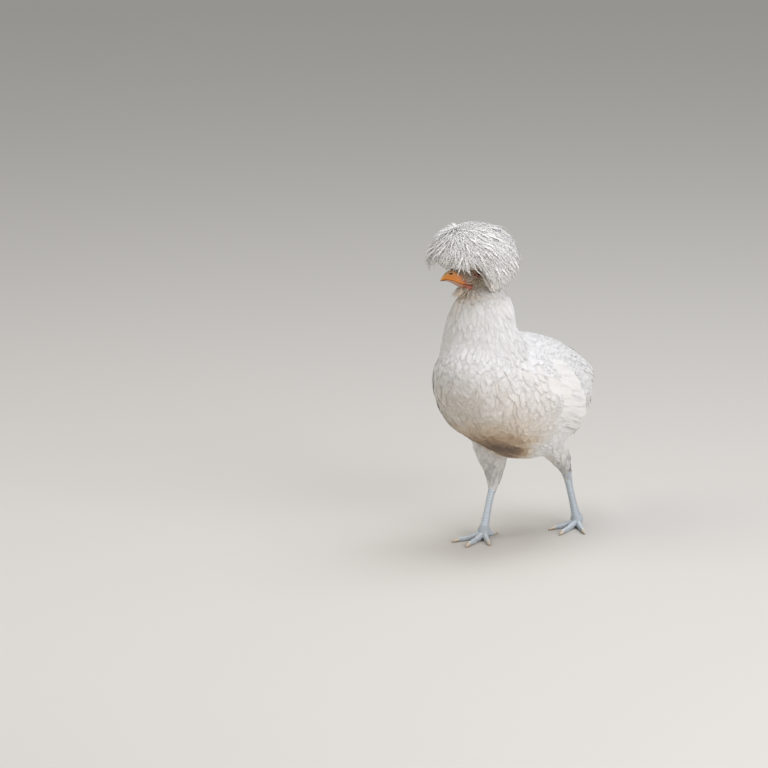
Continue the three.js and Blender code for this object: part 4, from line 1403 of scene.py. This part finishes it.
spots, out = scattered(
    skin,
    lambda p: (TRUNK_GAP + (SHOULDER_GAP - TRUNK_GAP) * neck_share(p)) * MM,
    on_trunk,
    chance,
    60000,
)
share = neck_share(spots)
_, ahead, up = in_millimetres(spots)
drift = 0.16 * patchy(spots, 0.05, seed=1) + chance.normal(0, 0.07, len(spots))
ways = turned(lie_of_coat(spots, out), out, drift)
long = TRUNK_LENGTH + (NECK_LENGTH - TRUNK_LENGTH) * share
lengths = long * chance.uniform(0.9, 1.12, len(spots)) * MM
heights = coat_depth(spots) * chance.uniform(0.985, 1.015, len(spots))
lines, facing = laid(spots, out, ways, lengths, heights)
wide = TRUNK_HALF_WIDTH + (NECK_HALF_WIDTH - TRUNK_HALF_WIDTH) * share
widths = wide * chance.uniform(0.92, 1.1, len(spots)) * MM
# Here the stain is dust and painted shade of the underside, darker low on the breast and between the legs.
stain_and_shade = dust_and_shade(lines[:, -1])
is_back = (ahead < 40) & (up > 190)
soft = ((up < 175) & (ahead < -70)) | (up < 128)
for name, part, vane in (
    ("breast_feathers_left", ~is_back & ~soft & (spots[:, 0] > 0), contour),
    ("breast_feathers_right", ~is_back & ~soft & (spots[:, 0] <= 0), contour),
    ("back_feathers", is_back & ~soft, contour),
    ("belly_fluff", soft, fluff),
):
    dressed(name, vane, lines[part], facing[part], widths[part], stain_and_shade[part], chance)

# Neck hackles
# Narrow pointed feathers that hang down the neck from under the crest and fan out over the shoulders. They
# grow closer together than those of the trunk.


def on_neck(spots, out):
    """True from the shoulders up to the crest."""
    _, _, up = in_millimetres(spots)
    return (up >= NECK_START) & (distance(spots, head_spot) > 0.034)


spots, out = scattered(skin, lambda p: np.full(len(p), NECK_GAP * MM), on_neck, chance, 50000)
drift = 0.12 * patchy(spots, 0.03, seed=2) + chance.normal(0, 0.08, len(spots))
ways = turned(lie_of_coat(spots, out), out, drift)
lengths = NECK_LENGTH * chance.uniform(0.85, 1.15, len(spots)) * MM
heights = coat_depth(spots) * chance.uniform(0.95, 1.05, len(spots))
lines, facing = laid(spots, out, ways, lengths, heights)
widths = NECK_HALF_WIDTH * chance.uniform(0.85, 1.15, len(spots)) * MM
dressed("neck_hackles", hackle, lines, facing, widths, face_stain(spots), chance)

# Face feathers
# Short fine feathers on the cheeks, throat and brow, smallest round the eye and the bill, where they are
# stained. The chin bears a looser tuft.

EYE_CLEAR = 0.0068  # how far the feathers keep from the eye, the bare skin and the bill
BARE_CLEAR = 0.0036
BILL_CLEAR = 0.0105
bare_parts = ("wattle_left", "wattle_right", "earlobe_left", "earlobe_right")
bare_spots = [middle(part) for part in bare_parts]


def on_face(spots, out):
    """True on the head, clear of the eyes, the bill and the bare skin."""
    near = distance(spots, head_spot) <= 0.036
    off_eye = distance(spots, *eye_spots) > EYE_CLEAR
    off_bill = distance(spots, in_head(0, 30, -4)) > BILL_CLEAR
    return near & off_eye & off_bill & (distance(spots, *bare_spots) > BARE_CLEAR)


face_chance = np.random.default_rng(9)
small = Vane(HACKLE_SHAPE, 6, 0.4, 5.0, 0.15, face_chance)
face_gap = lambda p: (2.0 + 1.6 * smooth(distance(p, bill_root), 0.01, 0.045)) * MM
spots, out = scattered(skin, face_gap, on_face, face_chance, 90000)
ways = turned(lie_of_coat(spots, out), out, face_chance.normal(0, 0.16, len(spots)))
scale = 0.55 + 0.75 * smooth(distance(spots, bill_root), 0.008, 0.05)
left, ahead, up = from_head(spots)
chin = smooth(up, -8, -13) * smooth(ahead, 12, 24) * smooth(np.abs(left), 13, 8)
ways = drawn_to(ways, np.array(0.5 * head_ahead - UP), chin)
lengths = (9.5 * scale + 11 * chin) * face_chance.uniform(0.8, 1.2, len(spots)) * MM
heights = (2.0 * scale + 9 * chin) * face_chance.uniform(0.7, 1.25, len(spots)) * MM
lines, facing = laid(spots, out, ways, lengths, heights, start=0.35, stations=4)
widths = 2.1 * scale * MM
stain_and_shade = 0.6 * face_stain(spots) + 0.04 * chin
dressed("face_feathers", small, lines, facing, widths, stain_and_shade, face_chance, thick=0.15)

# Brow tufts
# Stained curly feathers that spill from under the crest over the root of the bill. Each row lies over the
# one before it.

BROW_ROWS = 7
BROW_LENGTH = 13
BROW_TIP = 45.5  # how far ahead in the head the first row reaches
BROW_STEP = 3.4
BROW_SHORTER = 17  # by which it reaches less far at the sides
BROW_FOOT = 1.5  # of the lowest feathers over the mouth line
brow_chance = np.random.default_rng(52)
lines, facing = [], []
for row in range(BROW_ROWS):
    for turn in np.radians(np.arange(-84, 85, 5)):
        turn += brow_chance.normal(0, 0.05)
        shorter = BROW_SHORTER * smooth(abs(turn), math.radians(25), math.radians(85))
        tip = BROW_TIP - shorter - BROW_STEP * row + brow_chance.normal(0, 1.2)
        curl = brow_chance.normal(0, 0.22) + 0.25 * turn
        line = []
        for share in np.linspace(0, 1, 5):
            ahead = tip - BROW_LENGTH * (1 - share)
            swing = np.clip(turn + curl * (share - 0.5), -1.5, 1.5)
            lift = 0.7 + 0.55 * row + 1.1 * share**2
            left = (bill_half_width(ahead) + lift) * math.sin(swing)
            foot = mouth_line(ahead) + BROW_FOOT
            over = (upper_depth(ahead) - BROW_FOOT + lift) * math.cos(swing) ** 0.85
            line.append(in_head(left, ahead, foot + over))
        lines.append(line)
        facing.append([head_left * math.sin(turn) + UP * math.cos(turn)] * 5)
lines, facing = np.array(lines), np.array(facing)
widths = brow_chance.uniform(1.1, 1.7, len(lines)) * MM
stain_and_shade = brow_chance.normal(0.42, 0.08, len(lines))
dressed("brow_tufts", small, lines, facing, widths, stain_and_shade, brow_chance, thick=0.15)

# Thigh feathers
# Short soft feathers down the drumsticks, ending in a loose fringe over the bare shanks. Those on the hind
# leg end a little higher.

THIGH_TOP = 0.122
ROOTS_TO = (0.073, 0.062)  # how far down the roots reach on the left leg and on the right
TIPS_TO = (0.066, 0.052)  # and the tips
leg_chance = np.random.default_rng(15)


def on_thigh(spots, out):
    """True on the drumsticks below the belly."""
    return (spots[:, 2] <= THIGH_TOP) & (spots[:, 2] > np.where(spots[:, 0] > 0, *ROOTS_TO))


thigh_gap = lambda p: (2.5 + 2.0 * smooth(p[:, 2], 0.07, 0.11)) * MM
spots, out = scattered(skin, thigh_gap, on_thigh, leg_chance, 50000)
ways = turned(lie_of_coat(spots, out), out, leg_chance.normal(0, 0.12, len(spots)))
scale = smooth(spots[:, 2], 0.055, 0.12)
lengths = (16 + 14 * scale) * leg_chance.uniform(0.85, 1.15, len(spots)) * MM
room = 1.1 * (spots[:, 2] - np.where(spots[:, 0] > 0, *TIPS_TO))
lengths = np.minimum(lengths, np.maximum(room, 7 * MM))
over_shank = smooth(spots[:, 2], 0.085, 0.062)
heights = (coat_depth(spots) + 1.0 * over_shank * MM) * leg_chance.uniform(0.95, 1.06, len(spots))
lines, facing = laid(spots, out, ways, lengths, heights, stations=5)
widths = (3.2 + 3.2 * scale) * MM
# The thigh feathers take a little less of the body's dust and painted shade.
dressed("thigh_feathers", fluff, lines, facing, widths, 0.8 * dust_and_shade(lines[:, -1]), leg_chance)

# Wings
# Both wings are folded on the flanks. Long firm flight feathers lie under rows of coverts, and small coverts
# hide the arm. The topmost slip under the feathers of the back.

FLIGHT_SHAPE = [[0.08, 0], [0.3, 0.08], [0.78, 0.24], [1, 0.55], [0.97, 0.84], [0.68, 0.96], [0, 1]]
wing_chance = np.random.default_rng(21)
flight = Vane(FLIGHT_SHAPE, 18, 0.07, 8.0, 0.06, wing_chance)
# Each row runs from its lowest feather to its highest: count, roots, tips, lift over the plumage of the
# lowest, middle and highest ones, half width. The ends of the rows slip under the feathers of the flank and
# the back.
WING_ROWS = (
    (6, ((76, 178), (68, 196)), ((-61, 138), (-38, 161)), (1.5, 2.5, 3.5), 8.5),
    (12, ((66, 182), (62, 256)), ((-42, 154), (10, 243)), (2.6, 4.4, -1.0), 9.5),
    (11, ((86, 187), (76, 258)), ((12, 161), (36, 250)), (1.4, 6.6, -0.6), 9.0),
    (11, ((99, 190), (90, 262)), ((44, 167), (58, 256)), (-0.6, 8.0, -0.2), 8.5),
)
QUILL_SUNK = -3  # how far the roots lie in the coat
QUILL_OUT = 0.42  # share of a quill's length over which it comes out
# Coverts of the arm, broad ones under small ones, so that no skin shows where these part: gap, size of the
# patch, length, rise over the coat, half width.
COVERT_LAYERS = ((9.0, 1.8, 34, -1.2, 9.5), (5.2, 1.4, 30, 0.8, 7.0))


def blend(pair, share):
    """A point between the two of a pair."""
    return [a + (b - a) * share for a, b in zip(*pair)]


def wing_line(side, root, tip, lift, stations=9):
    """A flight feather's line from its root to its tip, over the flank."""
    line, facing = [], []
    for k in range(stations):
        share = k / (stations - 1)
        ahead, up = blend((root, tip), share)
        near, normal, _, _ = plumage_tree.find_nearest(flank(side, ahead, up, 0))
        line.append(near + normal * (QUILL_SUNK + (lift - QUILL_SUNK) * smooth(share, 0, QUILL_OUT)) * MM)
        facing.append(normal)
    return line, facing


for side, side_name in ((1, "left"), (-1, "right")):
    lines, facing, widths = [], [], []
    for count, roots, tips, lifts, half in WING_ROWS:
        for i in range(count):
            share = i / (count - 1)
            tip = blend(tips, share)
            tip[0] += wing_chance.uniform(-3, 3)
            lift = np.interp(share, (0, 0.4, 1), lifts) + 0.3 * (i % 2)
            line, out = wing_line(side, blend(roots, share), tip, lift)
            lines.append(line)
            facing.append(out)
            widths.append(half * MM)
    lines, facing = np.array(lines), np.array(facing)
    quills = dressed(
        f"wing_quills_{side_name}",
        flight,
        lines,
        facing,
        np.array(widths),
        wing_chance.uniform(0.03, 0.06, len(lines)),
        wing_chance,
        thick=0.35,
        cup=0.07,
    )
    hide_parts(f"wing_{side_name}")
    layers = []
    for gap, size, length, rise, half in COVERT_LAYERS:
        spots, out = scattered(
            skin,
            lambda p: np.full(len(p), gap * MM),
            lambda p, n: on_wing_bow(p, n, size) & (p[:, 0] * side > 0),
            wing_chance,
            30000,
        )
        ways = turned(lie_of_coat(spots, out), out, wing_chance.normal(0, 0.08, len(spots)))
        lengths = length * wing_chance.uniform(0.9, 1.1, len(spots)) * MM
        heights = (coat_depth(spots) + rise * MM) * wing_chance.uniform(0.975, 1.025, len(spots))
        layers.append([*laid(spots, out, ways, lengths, heights), np.full(len(spots), half * MM)])
    lines, facing, widths = [np.concatenate(parts) for parts in zip(*layers)]
    # The coverts take the body's dust and painted shade.
    stain_and_shade = dust_and_shade(lines[:, -1])
    dressed(f"wing_coverts_{side_name}", contour, lines, facing, widths, stain_and_shade, wing_chance)

# Tail
# Two fans of quills held together like a steep roof, low and turned to the hen's right. Shorter rows of
# soft coverts lie over the quills' roots.

TAIL_ROOT = (-3, -100, 204)
TAIL_TURN = math.radians(17)
TAIL_DROP = math.radians(15)
TAIL_LENGTH = 87.5
ROOF_HALF_WIDTH = 12
ROOF_SPREAD = 3  # by which it widens to the tip
ROOF_HEIGHT = 14
ROOF_RISE = 28  # by which it grows higher to the tip
TAIL_SAG = 2.5
tail_chance = np.random.default_rng(31)


def in_tail(left, back, up):
    """A point of the tail, given from its root in its own directions."""
    turn = Matrix.Rotation(TAIL_TURN, 3, "Z") @ Matrix.Rotation(-TAIL_DROP, 3, "X")
    return at(*TAIL_ROOT) + turn @ Vector((left, back, up)) * MM


def tail_line(side, slope, tip, lift, stations=9):
    """A tail feather's line on the roof's curve, from 0 at the ridge to 90 degrees at its foot."""
    line, facing = [], []
    for k in range(stations):
        share = k / (stations - 1)
        reach = share * tip / TAIL_LENGTH
        wide, high = ROOF_HALF_WIDTH + ROOF_SPREAD * reach + lift, ROOF_HEIGHT + ROOF_RISE * reach + lift
        left, up = wide * math.sin(slope), high * math.cos(slope)
        line.append(in_tail(side * left, share * tip, up - (high - lift) - TAIL_SAG * share**2))
        above = in_tail(side * math.sin(slope) / wide, 0, math.cos(slope) / high)
        facing.append((above - in_tail(0, 0, 0)).normalized())
    return line, facing


# Each row: its feathers' degrees from the ridge, the first one's length, how much shorter each next one is,
# its lift and half width.
TAIL_ROWS = (
    ((0, 17, 33, 48, 61, 73, 84), TAIL_LENGTH, 2.0, 0.0, 9.0),
    ((0, 24, 46, 66, 84), 64, 3.0, 2.4, 9.5),
    ((12, 36, 58, 80), 48, 3.0, 4.4, 9.0),
)
lines, facing, widths = [], [], []
for slopes, length, shorten, lift, half in TAIL_ROWS:
    for i, slope in enumerate(slopes):
        for side in (1, -1) if slope else (1,):
            tip = length - shorten * i + tail_chance.uniform(-1.5, 1.5)
            line, out = tail_line(side, math.radians(slope), tip, lift + 0.6 * (i % 2))
            lines.append(line)
            facing.append(out)
            widths.append(half * MM)
tail = dressed(
    "tail_quills",
    flight,
    np.array(lines),
    np.array(facing),
    np.array(widths),
    np.zeros(len(lines)),
    tail_chance,
    thick=0.5,
    cup=0.12,
)
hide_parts("tail")

# Crest
# The globe of long feathers that the breed is known for. They grow from a knob on the skull, rise round a
# whorl at the front and fall outwards to the nape and cheeks. Loose narrow ones part over the brow and stand
# out over the bill.

CREST_RADIUS = 58
CREST_HEIGHT = 50
CREST_MIDDLE = np.array(in_head(0, 12, 20))
CREST_ROOT = 0.36  # where the feathers leave the knob, in radii
CREST_COVER = 1.92  # how much of the globe bears tips, where 2 is all of it
HEM_FRONT = 110  # degrees from straight up that the crest reaches over the brow
HEM_LIFT = 12  # less beside the brow
HEM_DROP = 46  # more at the nape
WHORL_LEAN = math.radians(28)
crest_chance = np.random.default_rng(41)
crest_axes = np.array([head_left, head_ahead, UP])
whorl = np.array([0, math.sin(WHORL_LEAN), math.cos(WHORL_LEAN)])
whorl_front = np.array([0, math.cos(WHORL_LEAN), -math.sin(WHORL_LEAN)])


def round_the_whorl(turn, fall):
    """Directions in the head's axes, by the turn round the whorl and the fall from it."""
    out = np.cos(turn)[..., None] * whorl_front + np.sin(turn)[..., None] * np.array([1, 0, 0])
    return np.cos(fall)[..., None] * whorl + np.sin(fall)[..., None] * out


def hem(direction):
    """The lowest angle from straight up that the crest reaches in a direction. The face stays open."""
    round_head = np.degrees(np.abs(np.arctan2(direction[:, 0], direction[:, 1])))
    lift, drop = smooth(round_head, 8, 34), smooth(round_head, 78, 124)
    return np.radians(HEM_FRONT - HEM_LIFT * lift + HEM_DROP * drop)


def crest_lines(turn, start, end, reach, rise, bow, stations=8):
    """Lines of crest feathers that rise from the knob and fall over the globe."""
    share = np.linspace(0, 1, stations)[None, :]
    fall = start[:, None] + (end - start)[:, None] * share
    grow = np.sin(np.pi / 2 * np.clip(share * rise[:, None], 0, 1))
    out = CREST_ROOT + (reach[:, None] - CREST_ROOT) * grow
    sway = turn[:, None] + bow[:, None] * share**2
    direction = round_the_whorl(sway, fall)
    local = direction * out[..., None] * np.array([1, 1, CREST_HEIGHT / CREST_RADIUS]) * CREST_RADIUS * MM
    facing = direction @ crest_axes
    return CREST_MIDDLE + local @ crest_axes, facing


PLUME_SHAPE = [[0.14, 0], [0.4, 0.15], [0.76, 0.4], [1, 0.68], [0.9, 0.86], [0.5, 0.97], [0, 1]]
STREAK_SHAPE = [[0.3, 0], [0.7, 0.2], [1, 0.5], [0.85, 0.75], [0.45, 0.92], [0, 1]]
plume = Vane(PLUME_SHAPE, 11, 0.3, 7.0, 0.25, crest_chance)
streak = Vane(STREAK_SHAPE, 6, 0.5, 19.0, 0.2, crest_chance)


def crest_layer(name, vane, tips, width, reach, ragged, sway, loose):
    """One layer of crest feathers, their tips spread evenly over the globe. width is in mm, reach in radii.

    Where loose is 1 the front ones flare out over the bill and a few tips stick out. Where it is 0 they are
    drawn in.
    """
    number = np.arange(tips) + 0.5
    fall = np.arccos(1 - CREST_COVER * number / tips)
    turn = (number * math.pi * (3 - math.sqrt(5))) % (2 * math.pi)  # the golden turn, for an even spread
    direction = round_the_whorl(turn, fall)
    from_top = np.arccos(np.clip(direction[:, 2], -1, 1))
    shorter = math.radians(8) * loose * smooth(direction[:, 1], 0.3, 0.8)
    keep = from_top < hem(direction) - shorter + crest_chance.normal(0, ragged, tips)
    turn, fall, direction, from_top = turn[keep], fall[keep], direction[keep], from_top[keep]
    count = len(turn)
    front = smooth(direction[:, 1], 0.1, 0.6)
    drawn_in = smooth(from_top, math.radians(80), math.radians(112)) * front
    start = np.maximum(fall - np.radians(crest_chance.uniform(46, 66, count)), np.radians(-18))
    waves = patchy(direction, 0.9, seed=6)
    flare = 0.11 * smooth(from_top, math.radians(20), math.radians(88))
    flare *= smooth(direction[:, 1], -0.1, 0.85)
    stray = 0.07 * loose * (crest_chance.random(count) < 0.05) * crest_chance.random(count)
    stray *= smooth(from_top, math.radians(18), math.radians(45))
    out = reach + 0.012 * waves + crest_chance.uniform(-0.006, 0.006, count) + stray
    out *= 1 - 0.3 * drawn_in * (1 - loose) + flare * (0.6 + 0.4 * loose)
    bow = sway * (patchy(direction, 0.35, seed=7) + crest_chance.normal(0, 0.4, count)) * (1 + front)
    bow -= 0.25 * front
    rise = crest_chance.uniform(1.0, 1.08, count)
    lines, facing = crest_lines(turn - 0.6 * bow, start, fall, out, rise, bow)
    near_eye = distance(lines[:, -1], *eye_spots)
    widths = width * crest_chance.uniform(0.85, 1.2, count) * MM
    spots = 0.5 + 0.45 * direction[:, :2] * fall[:, None] / 3.2
    stain_and_shade = face_stain(lines[:, -1]) * 0.6 + 0.3 * smooth(near_eye, 0.042, 0.012)
    is_left = direction[:, 0] > 0
    pieces = []
    for side_name, is_here in (("left", is_left), ("right", ~is_left)):
        part = is_here & (near_eye > 0.0125)
        piece = dressed(
            f"{name}_{side_name}",
            vane,
            lines[part],
            facing[part],
            widths[part],
            stain_and_shade[part],
            crest_chance,
            spots=spots[part],
        )
        pieces.append(piece)
    return pieces


plumes = crest_layer("crest_plumes", plume, 900, 5.6, reach=0.925, ragged=0.02, sway=0.05, loose=0)
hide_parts("crest")
crest_layer("crest_streaks", streak, 4400, 1.7, reach=0.955, ragged=0.07, sway=0.16, loose=1)

# A few wisps fall over the brow and the root of the bill.
WISPS = 150
turn = crest_chance.normal(-0.15, 0.8, WISPS)
fall = np.radians(crest_chance.uniform(20, 66, WISPS))
start = fall - np.radians(crest_chance.uniform(34, 58, WISPS))
reach = crest_chance.uniform(0.97, 1.08, WISPS)
bow = crest_chance.normal(-0.2, 0.3, WISPS)
lines, facing = crest_lines(turn, start, fall, reach, np.full(WISPS, 1.1), bow)
widths = crest_chance.uniform(1.0, 1.6, WISPS) * MM
columns, rows = 0.2 + 0.6 * crest_chance.random(WISPS), 0.04 + 0.9 * (np.arange(WISPS) + 0.5) / WISPS
stain_and_shade = face_stain(lines[:, -1]) * 0.8
wisp_spots = np.stack([columns, rows], 1)
dressed("crest_wisps", streak, lines, facing, widths, stain_and_shade, crest_chance, spots=wisp_spots)

# Stage
# A plain pale floor of painted board under soft studio light, and a camera where the picture was taken
# from.

FLOOR_HALF_SIZE = 30
BOARD_GRAIN = 25 * MM
floor_form = bmesh.new()
bmesh.ops.create_grid(floor_form, x_segments=2, y_segments=2, size=FLOOR_HALF_SIZE)
floor = mesh_object("floor", floor_form)
pale_floor = new_finish("pale_painted_board")
floor_place = add(pale_floor, "TexCoord").outputs["Object"]
floor_grain = add(pale_floor, "TexNoise", {"Vector": floor_place, "Scale": 1 / BOARD_GRAIN, "Detail": 4})
floor_bump = add(
    pale_floor,
    "Bump",
    {"Height": floor_grain.outputs["Fac"], "Strength": 0.05, "Distance": MM},
)
floor_shader = add(
    pale_floor,
    "BsdfPrincipled",
    {"Base Color": linear("d0ccc4"), "Roughness": 0.8, "Normal": floor_bump.outputs["Normal"]},
)
add(pale_floor, "OutputMaterial", {"Surface": floor_shader.outputs["BSDF"]})
floor.data.materials.append(pale_floor)


def soft_light(name, place, aim, size, power, colour):
    """A square studio light that faces a point."""
    lamp = bpy.data.lights.new(name, "AREA")
    lamp.size = size
    lamp.energy = power
    lamp.color = linear(colour)[:3]
    holder = bpy.data.objects.new(name, lamp)
    holder.location = place
    holder.rotation_euler = (Vector(aim) - Vector(place)).to_track_quat("-Z", "Y").to_euler()
    bpy.context.scene.collection.objects.link(holder)


soft_light("key_light", (-1.2, -1.5, 2.2), (0, 0, 0.25), 1.8, 19, "fffaf4")
soft_light("top_light", (0.4, 0.3, 3.0), (0, 0, 0.25), 2.4, 55, "f2f6ff")
soft_light("fill_light", (2.6, -1.1, 1.3), (0, 0, 0.2), 2.0, 50, "fbfaff")
world = bpy.data.worlds.new("studio")
world.use_nodes = True
world.node_tree.nodes["Background"].inputs["Color"].default_value = linear("d9dadc")
world.node_tree.nodes["Background"].inputs["Strength"].default_value = 0.56
bpy.context.scene.world = world
bpy.context.scene.view_settings.view_transform = "Standard"

PICTURE = 768  # pixels on each side of the picture
FOOT_PIXEL = (484, 538)  # where the floor under the right ankle shows
SCALE = 774  # pixels for each metre there
DISTANCE = 8.0
SENSOR = 36
camera_data = bpy.data.cameras.new("camera")
camera_data.sensor_width = SENSOR
camera_data.lens = SENSOR * SCALE * DISTANCE / PICTURE
camera = bpy.data.objects.new("camera", camera_data)
azimuth, elevation = math.radians(30), math.radians(12)
level = math.cos(elevation)
towards = Vector((math.sin(azimuth) * level, -math.cos(azimuth) * level, math.sin(elevation)))
right = Vector((math.cos(azimuth), math.sin(azimuth), 0))
across, down = PICTURE / 2 - FOOT_PIXEL[0], FOOT_PIXEL[1] - PICTURE / 2
aim = at(-37, 50, 0) + (right * across + towards.cross(right) * down) / SCALE
camera.location = aim + towards * DISTANCE
camera.rotation_euler = (-towards).to_track_quat("-Z", "Y").to_euler()
bpy.context.scene.collection.objects.link(camera)
bpy.context.scene.camera = camera
